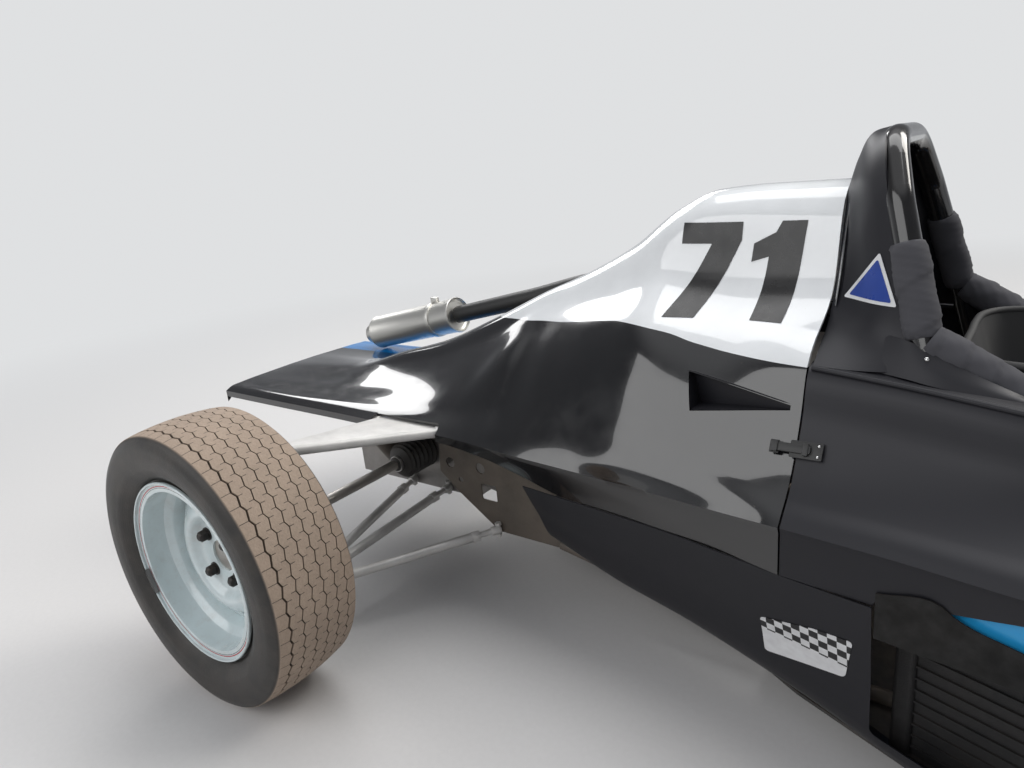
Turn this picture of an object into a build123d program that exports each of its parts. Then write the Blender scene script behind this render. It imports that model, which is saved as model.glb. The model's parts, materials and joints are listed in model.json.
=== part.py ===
"""Open wheel single seater racing car, in millimetres.

+X points to the nose, +Y to the left side, +Z up. The origin is on the ground, on the
centreline, at the middle of the overall length. Body stations are given as distances
ahead of the rear axle and placed with at().
"""
from build123d import *
from math import atan2, cos, degrees, radians, sin, sqrt
import os

os.makedirs("parts", exist_ok=True)

# Driving dimensions
wheelbase = 2450
tail_overhang = 600
front_overhang = 800
overall_length = tail_overhang + wheelbase + front_overhang
rear_track = 1385
front_track = 1400
ground_clearance = 44

# Tyres
rear_tyre_radius = 280
rear_tyre_width = 185
front_tyre_radius = 268
front_tyre_width = 160
bead_radius = 165
shoulder_drop = 7            # of the tread's edge below its middle
bulge_radius = 226           # where the sidewall is widest
tread_inset = 9              # of the tread's edge from the widest place

# Steel rims
flange_radius = 182.5
flange_lip = 6
rim_half_width = 76
bead_half_width = 70
drop_radius = 148
steel_wall = 3.2
wheel_disc_wall = 4
stud_circle_radius = 54
stud_radius = 6
stud_count = 4
stud_length = 22             # outboard of the wheel disc's back
hub_bore_radius = 32
hub_face = 4                 # outboard of the rim's middle plane
vent_count = 8
vent_circle_radius = 122
vent_size = (26, 13)

# Hubs, brakes and uprights
brake_disc_radius = 118
brake_disc_wall = 10
brake_disc_inboard = 34      # from the rim's middle plane
hub_flange_radius = 68
stub_radius = 22
running_clearance = 0.05
front_upright_half = 125     # half height of the front uprights
rear_upright_half = 145
upright_wall = 28
upright_inboard = 128        # ball joint plane, from the rim's middle plane
ball_boss_radius = 14
ball_boss_spare = 3          # of the boss beyond its arm's radius
driveshaft_radius = 12
boot_radius = 42
boot_fold = 7
boot_pitch = 15
boot_folds = 6
boot_inner_y = 122

# Steering
king_pin_inboard = 116
steering_arm_length = 100
steering_arm_drop = 34
steering_arm_wall = 12
rack_radius = 9
steering_wheel_radius = 135
steering_grip_radius = 13
column_radius = 10

# Suspension arms
arm_radius = 9
rear_arm_radius = 11
pushrod_radius = 7

# Towing eye
tow_eye_radius = 18

# Body walls and tubes
skin = 4
sheet = 2
panel_gap = 0.8
seat_gap = 0.3
tube_radius = 12.5
brace_radius = 10
strut_radius = 8
hoop_tube_radius = 19
stay_radius = 22

# Stations ahead of the rear axle
seam_station = 952
pod_tail_station = 430
pod_nose_station = 1880
frame_tail_station = 930
hoop_station = 1160
dash_station = 1740
foot_station = wheelbase - 200
bulkhead_station = wheelbase + 135
scuttle_station = wheelbase + 170
radiator_station = 1100
hoop_top = 950
engine_rear_station = 455

rear_axle_x = -overall_length / 2 + tail_overhang
front_axle_x = rear_axle_x + wheelbase
nose_station = overall_length - tail_overhang
rear_wheel_y = rear_track / 2
front_wheel_y = front_track / 2
king_pin_y = front_wheel_y - king_pin_inboard
rear_ball_y = rear_wheel_y - upright_inboard
floor_top = ground_clearance + 6
rail_y = 225
front_rail_y = 152
low_rail = floor_top + tube_radius + seat_gap
high_rail = 400
front_high_rail = 362
exhaust_y = 200
gearbox_half_width = 80


def at(station):
    """Frame x of a station ahead of the rear axle."""
    return rear_axle_x + station


def save(part, label):
    part.label = label
    export_step(part, f"parts/{label}.step")


def bar(start, end, radius, mode=Mode.ADD):
    """Round bar from start to end, added to the open part."""
    start, end = Vector(*start), Vector(*end)
    run = end - start
    with BuildSketch(Plane(origin=start, z_dir=run)) as disc:
        Circle(radius)
    extrude(disc.sketch, amount=run.length, mode=mode)


def inset(points, wall):
    """A half outline moved inwards by wall, its last point carried on past the edge."""
    moved = []
    for index, (y, z) in enumerate(points):
        before = points[index - 1] if index else (-points[1][0], points[1][1])
        after = points[index + 1] if index + 1 < len(points) else None
        ways = []
        for a, b in ((before, (y, z)), ((y, z), after)):
            if b is None:
                continue
            length = sqrt((b[0] - a[0]) ** 2 + (b[1] - a[1]) ** 2)
            ways.append(((b[1] - a[1]) / length, -(b[0] - a[0]) / length))
        mean = (sum(w[0] for w in ways) / len(ways), sum(w[1] for w in ways) / len(ways))
        size = mean[0] ** 2 + mean[1] ** 2
        moved.append((y + mean[0] * wall / size, z + mean[1] * wall / size))
    moved[0] = (0, moved[0][1])
    return moved


def cross_plane(station):
    """Plane across the car at a station, its x to the left side and its y upwards."""
    return Plane(origin=(at(station), 0, 0), x_dir=(0, 1, 0), z_dir=(1, 0, 0))


def section(plane, points):
    """Closed face on a plane from a half outline that runs from the top to one side."""
    with BuildSketch(plane) as face:
        with BuildLine():
            Polyline(*points, *[(-y, z) for y, z in reversed(points) if y > 0], close=True)
        make_face()
    return face.sketch


def hull(table):
    """Closed loft through a table of (plane or station, half outline)."""
    with BuildPart() as solid:
        for place, points in table:
            add(section(place if isinstance(place, Plane) else cross_plane(place), points))
        loft(ruled=True)
    return solid.part


def shell(table, wall, closed_start=False, closed_end=False):
    """Shell of one wall through such a table, open below and at the ends that aren't closed."""
    hollow = []
    for index, (place, points) in enumerate(table):
        reach = 0
        if index == 0:
            reach = wall if closed_start else -1
        elif index == len(table) - 1:
            reach = -wall if closed_end else 1
        plane = place if isinstance(place, Plane) else cross_plane(place)
        inner = inset(points, wall)
        hollow.append((plane.offset(reach), inner + [(inner[-1][0], inner[-1][1] - 30)]))
    with BuildPart() as solid:
        add(hull(table))
        add(hull(hollow), mode=Mode.SUBTRACT)
    return solid.part


# Engine cover. Each half outline: ridge, crown, upper side, paint line, flank, valley, lip,
# crease, skirt
cover_table = [
    (-tail_overhang,
     [(0, 430), (40, 430), (90, 429), (140, 428), (185, 427), (225, 425), (258, 422), (276, 414), (276, 398)]),
    (-350,
     [(0, 441), (26, 440), (70, 434), (120, 429), (175, 427), (222, 424), (258, 421), (276, 412), (276, 396)]),
    (-150,
     [(0, 492), (16, 489), (45, 470), (90, 449), (140, 434), (200, 427), (256, 421), (276, 411), (276, 395)]),
    (0,
     [(0, 531), (16, 528), (55, 498), (100, 470), (150, 447), (205, 431), (256, 420), (276, 409), (276, 393)]),
    (190,
     [(0, 607), (16, 604), (60, 565), (110, 525), (165, 483), (215, 449), (258, 421), (278, 404), (278, 388)]),
    (330,
     [(0, 669), (18, 663), (42, 638), (68, 616), (145, 556), (222, 466), (268, 424), (289, 403), (289, 378)]),
    (430,
     [(0, 708), (22, 701), (62, 660), (104, 626), (185, 552), (245, 468), (282, 426), (300, 402), (300, 362)]),
    (550,
     [(0, 767), (26, 758), (78, 690), (150, 642), (215, 566), (264, 474), (298, 427), (311, 402), (311, 340)]),
    (650,
     [(0, 836), (32, 824), (92, 718), (187, 648), (243, 570), (285, 477), (315, 428), (322, 402), (322, 340)]),
    (730,
     [(0, 867), (35, 855), (98, 712), (200, 637), (256, 566), (298, 476), (326, 430), (334, 404), (334, 340)]),
    (820,
     [(0, 872), (36, 860), (106, 706), (214, 624), (264, 560), (314, 466), (340, 430), (350, 407), (350, 340)]),
    (seam_station - panel_gap / 2,
     [(0, 872), (36, 860), (118, 702), (250, 620), (281, 545), (345, 449), (368, 431), (383, 418), (383, 340)]),
]
# Air intake let into each flank, and the exhaust's way out of the left one
intake_rear = 785
intake_front = 940
intake_low = 540
intake_high = 608
intake_throat = 45
intake_wall = 3
exhaust_hole = (270, 160)


def intake_wedge(grow):
    """Wedge that narrows to the front, grown by a wall, on the right flank."""
    with BuildPart() as wedge:
        with BuildSketch(Plane.XY.offset(intake_low - grow)):
            with BuildLine():
                Polyline((at(intake_front + 4 * grow), -400), (at(intake_front + 4 * grow), -276 + grow),
                         (at(intake_rear), -262 + intake_throat + grow), (at(intake_rear), -400), close=True)
            make_face()
        extrude(amount=intake_high - intake_low + 2 * grow)
    return wedge.part


arm_slot = (-14, 192)         # stations of the slots in the deck's edges for the upper arms
with BuildPart() as cover_cuts:
    with BuildSketch(Plane.XZ.offset(-110)):
        with Locations((at(555), 650)):
            RectangleRounded(*exhaust_hole, 30)
    extrude(amount=-200)
    with BuildSketch(Plane.XY.offset(370)):
        with Locations((at(sum(arm_slot) / 2), 0)):
            Rectangle(arm_slot[1] - arm_slot[0], 700)
            Rectangle(arm_slot[1] - arm_slot[0] + 20, 460, mode=Mode.SUBTRACT)
    extrude(amount=60)
    throat = intake_wedge(0)
    add([throat, mirror(throat, Plane.XZ)])
with BuildPart() as engine_cover:
    add(shell(cover_table, skin, closed_start=True))
    # Intake walls end in the middle of the skin
    walls = intake_wedge(intake_wall) & hull([(place, inset(points, skin / 2)) for place, points in cover_table])
    add([walls, mirror(walls, Plane.XZ)])
    add(cover_cuts.part, mode=Mode.SUBTRACT)
save(engine_cover.part, "engine_cover")

# Cockpit surround. Each half outline: middle, inner, rim, rim edge, flank, valley, lip, crease,
# skirt
surround_table = [
    (seam_station + panel_gap / 2,
     [(0, 620), (100, 620), (180, 620), (250, 619), (281, 545), (345, 449), (368, 431), (383, 418), (383, 340)]),
    (1100,
     [(0, 609), (110, 609), (200, 609), (268, 606), (297, 530), (363, 449), (388, 432), (402, 418), (402, 340)]),
    (1250,
     [(0, 592), (120, 592), (210, 592), (284, 588), (313, 515), (384, 449), (412, 433), (428, 418), (428, 340)]),
    (1600,
     [(0, 566), (120, 566), (215, 565), (282, 560), (312, 495), (402, 445), (446, 429), (464, 414), (464, 340)]),
    (1740,
     [(0, 592), (100, 590), (190, 578), (256, 556), (294, 494), (390, 444), (444, 427), (462, 411), (462, 340)]),
    (pod_nose_station,
     [(0, 600), (80, 597), (150, 585), (205, 562), (244, 500), (372, 442), (436, 424), (456, 408), (456, 340)]),
]
with BuildPart() as cockpit_surround:
    add(shell(surround_table, skin))
    # Cockpit opening
    with BuildSketch(Plane.XY.offset(470)):
        with BuildLine():
            mouth = Polyline(
                (at(seam_station - 40), -225), (at(1230), -252), (at(1600), -250), (at(1760), -170),
                (at(1760), 170), (at(1600), 250), (at(1230), 252), (at(seam_station - 40), 225),
                close=True)
        make_face()
        fillet(vertices().group_by(Axis.X)[1:], 40)
    extrude(amount=300, mode=Mode.SUBTRACT)
save(cockpit_surround.part, "cockpit_surround")

# Scuttle over the driver's legs. Each half outline: middle, crown, shoulder, upper edge, side,
# lower side, foot
scuttle_end = [(0, 434), (70, 432), (130, 418), (176, 386), (200, 330), (206, 200), (204, floor_top)]
scuttle_table = [
    (pod_nose_station + panel_gap,
     [(0, 600), (80, 597), (150, 585), (205, 562), (244, 500), (266, 300), (266, floor_top)]),
    (2200, [(0, 522), (72, 519), (138, 504), (188, 470), (222, 414), (238, 250), (238, floor_top)]),
    (scuttle_station, scuttle_end),
]
# Suspension and steering bars that pass through the scuttle: start, end, radius
front_arm_reach = (-140, 110)
steering_arm_z = front_tyre_radius - steering_arm_drop
rack_z = steering_arm_z + steering_arm_wall / 2 + rack_radius + 0.5
rack_x = front_axle_x + steering_arm_length


def ball_z(tyre_radius, upright_half, radius, way):
    """Height of an upper (way 1) or lower (way -1) ball joint, its boss seated on the upright."""
    return tyre_radius + way * (upright_half + seat_gap + radius + ball_boss_spare)


def landed(start, end, face_y, radius):
    """Bar end moved along y so that its end disc stops just clear of the face at face_y."""
    side = 1 if end[1] > 0 else -1
    run = Vector(*end) - Vector(*start)
    tilt = sqrt(1 - (run.Y / run.length) ** 2)
    return (end[0], side * (face_y + seat_gap + radius * tilt), end[2])


front_balls = []
front_bars = []
for side in (-1, 1):
    for way, rail_z in ((1, front_high_rail), (-1, low_rail)):
        ball = (front_axle_x, side * king_pin_y,
                ball_z(front_tyre_radius, front_upright_half, arm_radius, way))
        front_balls.append(ball)
        for reach in front_arm_reach:
            foot = (front_axle_x + reach, side * front_rail_y, rail_z)
            front_bars.append((ball, landed(ball, foot, front_rail_y + tube_radius, arm_radius)))
pushrods = []
for side in (-1, 1):
    low_ball_z = ball_z(front_tyre_radius, front_upright_half, arm_radius, -1)
    start = (front_axle_x, side * (king_pin_y - 60), low_ball_z + 30)
    foot = (front_axle_x, side * front_rail_y, front_high_rail + 6)
    pushrods.append((start, landed(start, foot, front_rail_y + tube_radius, pushrod_radius)))

with BuildPart() as scuttle:
    add(shell(scuttle_table, skin))
    for start, end in front_bars + pushrods:
        bar(start, end, arm_radius + 8, Mode.SUBTRACT)
    bar((rack_x, -king_pin_y, rack_z), (rack_x, king_pin_y, rack_z), rack_radius + 10, Mode.SUBTRACT)
save(scuttle.part, "scuttle")

# Nose cone, closed at its tip
nose_table = [
    (scuttle_station + panel_gap, scuttle_end),
    (scuttle_station + 280,
     [(0, 344), (66, 342), (120, 330), (160, 304), (186, 262), (196, 170), (196, 76)]),
    (nose_station - 110,
     [(0, 247), (60, 245), (104, 236), (138, 218), (160, 190), (170, 140), (168, 92)]),
    (nose_station,
     [(0, 170), (40, 168), (70, 164), (92, 155), (104, 143), (110, 128), (108, 108)]),
]
with BuildPart() as nose_cone:
    add(shell(nose_table, skin, closed_end=True))
save(nose_cone.part, "nose_cone")

# Radiators stand in the pods, turned outwards to the front
radiator_y = 324             # outer face at the rear end
radiator_angle = radians(18)
radiator_length = 262
radiator_height = 248
tank_length = 30
tank_wall = 42
core_wall = 30
fin_count = 13


def radiator_plane(side):
    """Plane at the foot of a radiator, its x along the outer face to the front."""
    return Plane(origin=(at(radiator_station), side * radiator_y, floor_top),
                 x_dir=(cos(radiator_angle), side * sin(radiator_angle), 0), z_dir=(0, 0, 1))


# Side pod panels: outer wall turned in under the skirt, with the radiator opening
# Columns: station, top half width, bottom half width, bottom height
pod_table = [
    (pod_tail_station, 296, 192, 172),
    (600, 318, 220, 132),
    (750, 338, 234, 102),
    (seam_station, 380, 272, 64),
    (1250, 426, 396, floor_top),
    (1600, 461, 446, floor_top),
    (pod_nose_station, 453, 440, floor_top),
]
pod_top = 340 - seat_gap
opening_low = 98
opening_high = 312
opening_length = 380


def pod_loft(inset_by, inward):
    """Loft of the pod's side through its table, moved in by a wall and widened inwards."""
    with BuildPart() as solid:
        for station, wide, narrow, low in pod_table:
            with BuildSketch(Plane(origin=(at(station), 0, 0), x_dir=(0, -1, 0), z_dir=(-1, 0, 0))):
                with BuildLine():
                    Polyline((wide - 30 - inward, pod_top - inset_by), (wide - inset_by, pod_top - inset_by),
                             (narrow - inset_by, low + inset_by), (narrow - 24 - inward, low + inset_by),
                             close=True)
                make_face()
        loft(ruled=True)
    return solid.part


with BuildPart() as right_pod:
    add(pod_loft(0, 0))
    add(pod_loft(sheet, 1), mode=Mode.SUBTRACT)
    with BuildSketch(Plane.XZ.offset(300)):
        with Locations((at(radiator_station - 20 + opening_length / 2), (opening_low + opening_high) / 2)):
            RectangleRounded(opening_length, opening_high - opening_low, 12)
    extrude(amount=300, mode=Mode.SUBTRACT)
    # The turned in foot makes room for the radiator
    with BuildSketch(radiator_plane(-1).offset(-20)):
        with Locations((radiator_length / 2, tank_wall / 2)):
            Rectangle(radiator_length + 4, tank_wall + 2)
    extrude(amount=radiator_height + 30, mode=Mode.SUBTRACT)
with BuildPart() as side_pods:
    add(right_pod.part)
    mirror(about=Plane.XZ)
save(side_pods.part, "side_pods")

# Undertray
tray_points = [(seam_station - 60, 230), (seam_station, 266), (1250, 394), (1600, 444),
               (pod_nose_station, 438), (pod_nose_station + 2, 268), (2200, 242),
               (scuttle_station, 206)]
with BuildPart() as undertray:
    with BuildSketch(Plane.XY.offset(ground_clearance)):
        with BuildLine():
            Polyline(*[(at(x), -y) for x, y in tray_points],
                     *[(at(x), y) for x, y in reversed(tray_points)], close=True)
        make_face()
    extrude(amount=floor_top - ground_clearance - seat_gap)
save(undertray.part, "undertray")

# Space frame
bulkheads = [
    # station, half width, top
    (frame_tail_station, rail_y, high_rail),
    (hoop_station, rail_y, high_rail),
    (dash_station, rail_y, high_rail),
    (foot_station, front_rail_y + 12, front_high_rail),
    (bulkhead_station, front_rail_y, front_high_rail),
]
plate_y = 178.5              # inner face of the side plates that the rear stays meet
with BuildPart() as chassis_frame:
    for side in (-1, 1):
        for heights in ((low_rail, low_rail), (high_rail, front_high_rail)):
            with BuildLine() as rail:
                FilletPolyline(
                    (at(frame_tail_station - 10), side * rail_y, heights[0]),
                    (at(dash_station), side * rail_y, heights[0]),
                    (at(foot_station), side * front_rail_y, heights[1]),
                    (at(bulkhead_station + 15), side * front_rail_y, heights[1]), radius=120)
            with BuildSketch(Plane(origin=rail.line @ 0, z_dir=rail.line % 0)):
                Circle(tube_radius)
            sweep(path=rail.line)
        for (a, wide_a, high_a), (b, wide_b, high_b) in zip(bulkheads[:4], bulkheads[1:]):
            bar((at(a + 25), side * min(wide_a, wide_b), low_rail),
                (at(b - 25), side * min(wide_a, wide_b), high_b), strut_radius)
        for station, wide, high in bulkheads:
            bar((at(station), side * wide, low_rail), (at(station), side * wide, high), brace_radius)
        # Rear stays beside the engine
        bar((at(frame_tail_station), side * (rail_y - 12), high_rail - 20), (at(431.5), side * plate_y, 325),
            brace_radius)
        bar((at(frame_tail_station), side * (rail_y - 40), low_rail), (at(432.5), side * plate_y, 148),
            brace_radius)
    for station, wide, high in bulkheads:
        bar((at(station), -wide, low_rail), (at(station), wide, low_rail), brace_radius)
    for station, wide, high in (bulkheads[0], bulkheads[3], bulkheads[4]):
        bar((at(station), -wide, high), (at(station), wide, high), brace_radius)
    # Front dash hoop
    with BuildLine() as dash_line:
        FilletPolyline(
            (at(dash_station), -rail_y, high_rail), (at(dash_station), -150, 540),
            (at(dash_station), 150, 540), (at(dash_station), rail_y, high_rail), radius=50)
    with BuildSketch(Plane(origin=dash_line.line @ 0, z_dir=dash_line.line % 0)):
        Circle(brace_radius)
    sweep(path=dash_line.line)
save(chassis_frame.part, "chassis_frame")

# Main roll hoop, leaning back
hoop_lean = 0.27
hoop_base = high_rail + tube_radius + seat_gap + 5


def hoop_x(height):
    return at(hoop_station) - hoop_lean * (height - hoop_base)


with BuildPart() as roll_hoop:
    top = hoop_top - hoop_tube_radius
    corners = [(-rail_y, hoop_base), (-215, 640), (-150, 850), (-95, top), (95, top), (150, 850),
               (215, 640), (rail_y, hoop_base)]
    with BuildLine():
        hoop_line = FilletPolyline(*[(hoop_x(z), y, z) for y, z in corners], radius=70)
    with BuildSketch(Plane(origin=hoop_line @ 0, z_dir=hoop_line % 0)):
        Circle(hoop_tube_radius)
    sweep()
    # Lamp bracket on the top bar, its two ears joined by a foot
    with BuildSketch(Plane.XZ.offset(-28)):
        with BuildLine():
            Polyline((hoop_x(top) - 40, top - 12), (hoop_x(top), top - 12), (hoop_x(top), top + 12),
                     (hoop_x(top) - 40, top + 4), close=True)
        make_face()
    extrude(amount=5)
    with BuildSketch(Plane.XZ.offset(28)):
        with BuildLine():
            Polyline((hoop_x(top) - 40, top - 12), (hoop_x(top), top - 12), (hoop_x(top), top + 12),
                     (hoop_x(top) - 40, top + 4), close=True)
        make_face()
    extrude(amount=-5)
save(roll_hoop.part, "roll_hoop")

# Padded forward stays beside the driver's shoulders, their ends cut round the hoop
stay_low_z = 424
stay_low_x = at(1478)
with BuildPart() as hoop_stays:
    for side in (-1, 1):
        bar((hoop_x(660) + 12, side * 210, 656), (stay_low_x, side * rail_y, stay_low_z), stay_radius)
    with BuildSketch(Plane(origin=hoop_line @ 0, z_dir=hoop_line % 0)):
        Circle(hoop_tube_radius + seat_gap)
    sweep(path=hoop_line, mode=Mode.SUBTRACT)
    with BuildSketch(Plane.XY.offset(high_rail + tube_radius + seat_gap)):
        Rectangle(overall_length, 800)
    extrude(amount=-200, mode=Mode.SUBTRACT)
save(hoop_stays.part, "hoop_stays")

# Fairing between the hoop and the engine cover
lean_angle = degrees(atan2(hoop_lean, 1))
lean_way = Vector(cos(radians(lean_angle)), 0, sin(radians(lean_angle)))
fairing_front = Plane(origin=(hoop_x(760) - hoop_tube_radius / cos(radians(lean_angle)) - seat_gap, 0, 760),
                      x_dir=(0, 1, 0), z_dir=lean_way)
fairing_table = [
    (seam_station + 2, [(0, 866), (34, 856), (60, 790), (100, 722), (160, 664), (238, 636), (243, 621.5)]),
    (fairing_front, [(0, 150), (60, 142), (112, 92), (150, 20), (188, -60), (214, -100), (216, -128)]),
]
with BuildPart() as hoop_fairing:
    add(shell(fairing_table, skin))
save(hoop_fairing.part, "hoop_fairing")

# Cockpit side panels inside the frame rails
panel_y = rail_y - tube_radius - seat_gap - sheet / 2
with BuildPart() as cockpit_panels:
    for side in (-1, 1):
        with Locations((at((hoop_station + dash_station) / 2), side * panel_y, 235)):
            Box(dash_station - hoop_station - 60, sheet, 350)
save(cockpit_panels.part, "cockpit_panels")

# Bucket seat
seat_half_width = rail_y - 40
seat_wall = 6
seat_back = [(1130, 626), (1240, 236), (1330, 76), (1430, floor_top), (1640, 136)]
seat_front = [(1640, 144), (1432, 60), (1336, 84), (1249, 240), (1140, 626)]
seat_edge = [(1600, 216), (1420, 246), (1300, 386), (1220, 626)]
with BuildPart() as seat:
    with BuildSketch(Plane.XZ.offset(-seat_half_width)):
        with BuildLine():
            Polyline(*[(at(x), z) for x, z in seat_back + seat_front], close=True)
        make_face()
    extrude(amount=2 * seat_half_width)
    for start in (-seat_half_width, seat_half_width - seat_wall):
        with BuildSketch(Plane.XZ.offset(start)):
            with BuildLine():
                Polyline(*[(at(x), z) for x, z in seat_back + seat_edge], close=True)
            make_face()
        extrude(amount=seat_wall)
save(seat.part, "seat")

# Steering column line, from the wheel's centre to the rack
wheel_centre = Vector(at(1610), 0, 505)
column_run = Vector(rack_x, 0, rack_z) - wheel_centre
column_way = column_run.normalized()

# Dashboard
with BuildPart() as dashboard:
    with BuildSketch(cross_plane(dash_station - brace_radius - seat_gap - 3)):
        with BuildLine():
            Polyline((-195, 430), (-150, 535), (150, 535), (195, 430), close=True)
        make_face()
    extrude(amount=3)
    bar(wheel_centre, wheel_centre + column_way * 200, column_radius + 8, Mode.SUBTRACT)
save(dashboard.part, "dashboard")

# Windscreen, curved round the front of the cockpit and leaning back
# Columns: height, station of the ends, station of the middle, half width
screen_rings = [(556, 1712, 1866, 178), (664, 1668, 1800, 158)]
screen_wall = 4
with BuildPart() as windscreen:
    for height, ends, middle, wide in screen_rings:
        with BuildSketch(Plane.XY.offset(height)):
            with BuildLine():
                ThreePointArc((at(ends), -wide), (at(middle), 0), (at(ends), wide))
                Line((at(ends), wide), (at(ends), wide - screen_wall))
                ThreePointArc((at(ends), wide - screen_wall), (at(middle) - screen_wall, 0),
                              (at(ends), screen_wall - wide))
                Line((at(ends), screen_wall - wide), (at(ends), -wide))
            make_face()
    loft(ruled=True)
    with BuildPart(mode=Mode.PRIVATE) as below:
        add(Pos(0, 0, seat_gap) * hull(surround_table))
    add(below.part, mode=Mode.SUBTRACT)
save(windscreen.part, "windscreen")

# Mirrors on stalks, their housings narrower to the front
with BuildPart() as mirrors:
    for side in (-1, 1):
        for station, wide, high in ((1666, 122, 62), (1700, 100, 48), (1720, 64, 30)):
            with BuildSketch(cross_plane(station)):
                with Locations((side * 360, 640)):
                    RectangleRounded(wide, high, high * 0.4)
        loft(ruled=True)
        bar((at(1692), side * 330, 624), (at(1700), side * 255, 532), 6)
    with BuildPart(mode=Mode.PRIVATE) as body:
        add(Pos(0, 0, 2 * seat_gap) * hull(surround_table))
    add(body.part, mode=Mode.SUBTRACT)
save(mirrors.part, "mirrors")

# Over-centre latches that hold the engine cover
with BuildPart() as cover_latches:
    for side in (-1, 1):
        flank = Plane(origin=(at(seam_station + 4), side * 308, 511), x_dir=(1, 0, 0),
                      z_dir=(0, side * 0.832, 0.555))
        with BuildSketch(flank):
            with Locations((24, 0)):
                RectangleRounded(48, 26, 4)
        extrude(amount=2.5)
        with BuildSketch(flank):
            RectangleRounded(76, 15, 5)
        extrude(amount=8)
save(cover_latches.part, "cover_latches")

# Pedals
with BuildPart() as pedals:
    for y in (-90, 0, 90):
        with BuildSketch(cross_plane(wheelbase - 24)):
            with Locations((y, 170)):
                RectangleRounded(50, 70, 8)
        extrude(amount=8)
        bar((at(wheelbase - 14), y, 170), (at(wheelbase - 14), y, floor_top), 6)
save(pedals.part, "pedals")

# Gear lever on the right of the driver
with BuildPart() as gear_lever:
    bar((at(1560), 20 - rail_y, 300), (at(1540), 60 - rail_y, 400), 5)
    with Locations((at(1539), 61 - rail_y, 408)):
        Sphere(14)
save(gear_lever.part, "gear_lever")

# Engine, one plain block
engine_front = frame_tail_station - brace_radius - seat_gap
engine_half_width = 115
with BuildPart() as engine_block:
    with Locations((at((engine_rear_station + engine_front) / 2), 0, 345)):
        Box(engine_front - engine_rear_station, 2 * engine_half_width, 470)
save(engine_block.part, "engine_block")

# Gearbox with its bell housing
output_half = 120
member_half = 200
damper_station = -90
damper_member_z = 367
upper_foot_z = 394
upper_feet = (4, 214)
member_places = [(damper_station, damper_member_z)] + [(foot, upper_foot_z) for foot in upper_feet]
with BuildPart() as gearbox:
    with BuildSketch(Plane(origin=(at(engine_rear_station - seat_gap), 0, 0), x_dir=(0, -1, 0), z_dir=(-1, 0, 0))):
        with Locations((0, 275)):
            RectangleRounded(250, 300, 60)
    with BuildSketch(Plane(origin=(at(120), 0, 0), x_dir=(0, -1, 0), z_dir=(-1, 0, 0))):
        with Locations((0, 275)):
            RectangleRounded(170, 220, 60)
    loft()
    with Locations((at(-90), 0, 265)):
        Box(420, 2 * gearbox_half_width, 230)
    # Cross members that carry the dampers and the upper arms
    for station, height in member_places:
        with Locations((at(station), 0, height)):
            Box(34, 2 * member_half, 36)
    # Towing eye
    with BuildSketch(Plane.XZ.offset(-4)):
        with BuildLine():
            Polyline((at(-299), 320), (at(-299), 230), (at(-350), 245), (at(-350), 305), close=True)
        make_face()
        with Locations((at(-326), 275)):
            Circle(tow_eye_radius, mode=Mode.SUBTRACT)
    extrude(amount=8)
    with Locations(Plane(origin=(at(0), 0, rear_tyre_radius), z_dir=(0, 1, 0))):
        Cylinder(62, 2 * output_half)
save(gearbox.part, "gearbox")

# Side plates beside the bell housing, with lightening holes
with BuildPart() as frame_plates:
    for side in (-1, 1):
        with BuildSketch(Plane.XZ.offset(-side * (plate_y + 1.5))):
            with BuildLine():
                Polyline((at(98), 262), (at(104), 340), (at(430), 340), (at(430), 140), (at(262), 140),
                         (at(150), 218), close=True)
            make_face()
            with Locations((at(133), 289), (at(224), 290)):
                Circle(13, mode=Mode.SUBTRACT)
            with Locations((at(161), 250)):
                Circle(7, mode=Mode.SUBTRACT)
            with Locations((at(243), 233)):
                RectangleRounded(44, 40, 5, mode=Mode.SUBTRACT)
        extrude(amount=side * 3)
save(frame_plates.part, "frame_plates")

# Exhaust
with BuildPart() as exhaust_pipe:
    with BuildLine():
        exhaust_line = FilletPolyline(
            (at(650), 115.3, 540), (at(650), 180, 540), (at(585), 196, 650), (at(400), exhaust_y, 660),
            (at(-125), exhaust_y, 548), radius=30)
    with BuildSketch(Plane(origin=exhaust_line @ 0, z_dir=exhaust_line % 0)):
        Circle(24)
    sweep()
save(exhaust_pipe.part, "exhaust_pipe")

with BuildPart() as silencer:
    start = Vector(at(-125.3), exhaust_y, 548)
    way = (exhaust_line % 1).normalized()
    with BuildSketch(Plane(origin=start, z_dir=way)):
        Circle(50)
    extrude(amount=340)
    with BuildSketch(Plane(origin=start + way * 340, z_dir=way)):
        Circle(30)
    extrude(amount=40)
save(silencer.part, "silencer")

# Radiators: finned core between two end tanks
with BuildPart() as radiators:
    for side in (-1, 1):
        plane = radiator_plane(side)
        with BuildSketch(plane):
            with Locations((tank_length / 2, -side * tank_wall / 2), (radiator_length - tank_length / 2, -side * tank_wall / 2)):
                RectangleRounded(tank_length, tank_wall, 8)
            with Locations((radiator_length / 2, -side * tank_wall / 2)):
                Rectangle(radiator_length - tank_length, core_wall - 8)
        extrude(amount=radiator_height)
        # Frame rails and fins of the core
        for index in range(fin_count):
            edge = index in (0, fin_count - 1)
            height = 4 + index * (radiator_height - 8) / (fin_count - 1)
            with BuildSketch(plane.offset(height - (4 if edge else 1.5))):
                with Locations((radiator_length / 2, -side * tank_wall / 2)):
                    Rectangle(radiator_length - tank_length, 36 if edge else core_wall)
            extrude(amount=8 if edge else 3)
        # Hose necks on the rear tank
        for height in (40, radiator_height - 40):
            with BuildSketch(Plane(origin=plane.from_local_coords((tank_length / 2, -side * 40, height)),
                                   z_dir=plane.y_dir * -side)):
                Circle(16)
            extrude(amount=24)
save(radiators.part, "radiators")

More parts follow.
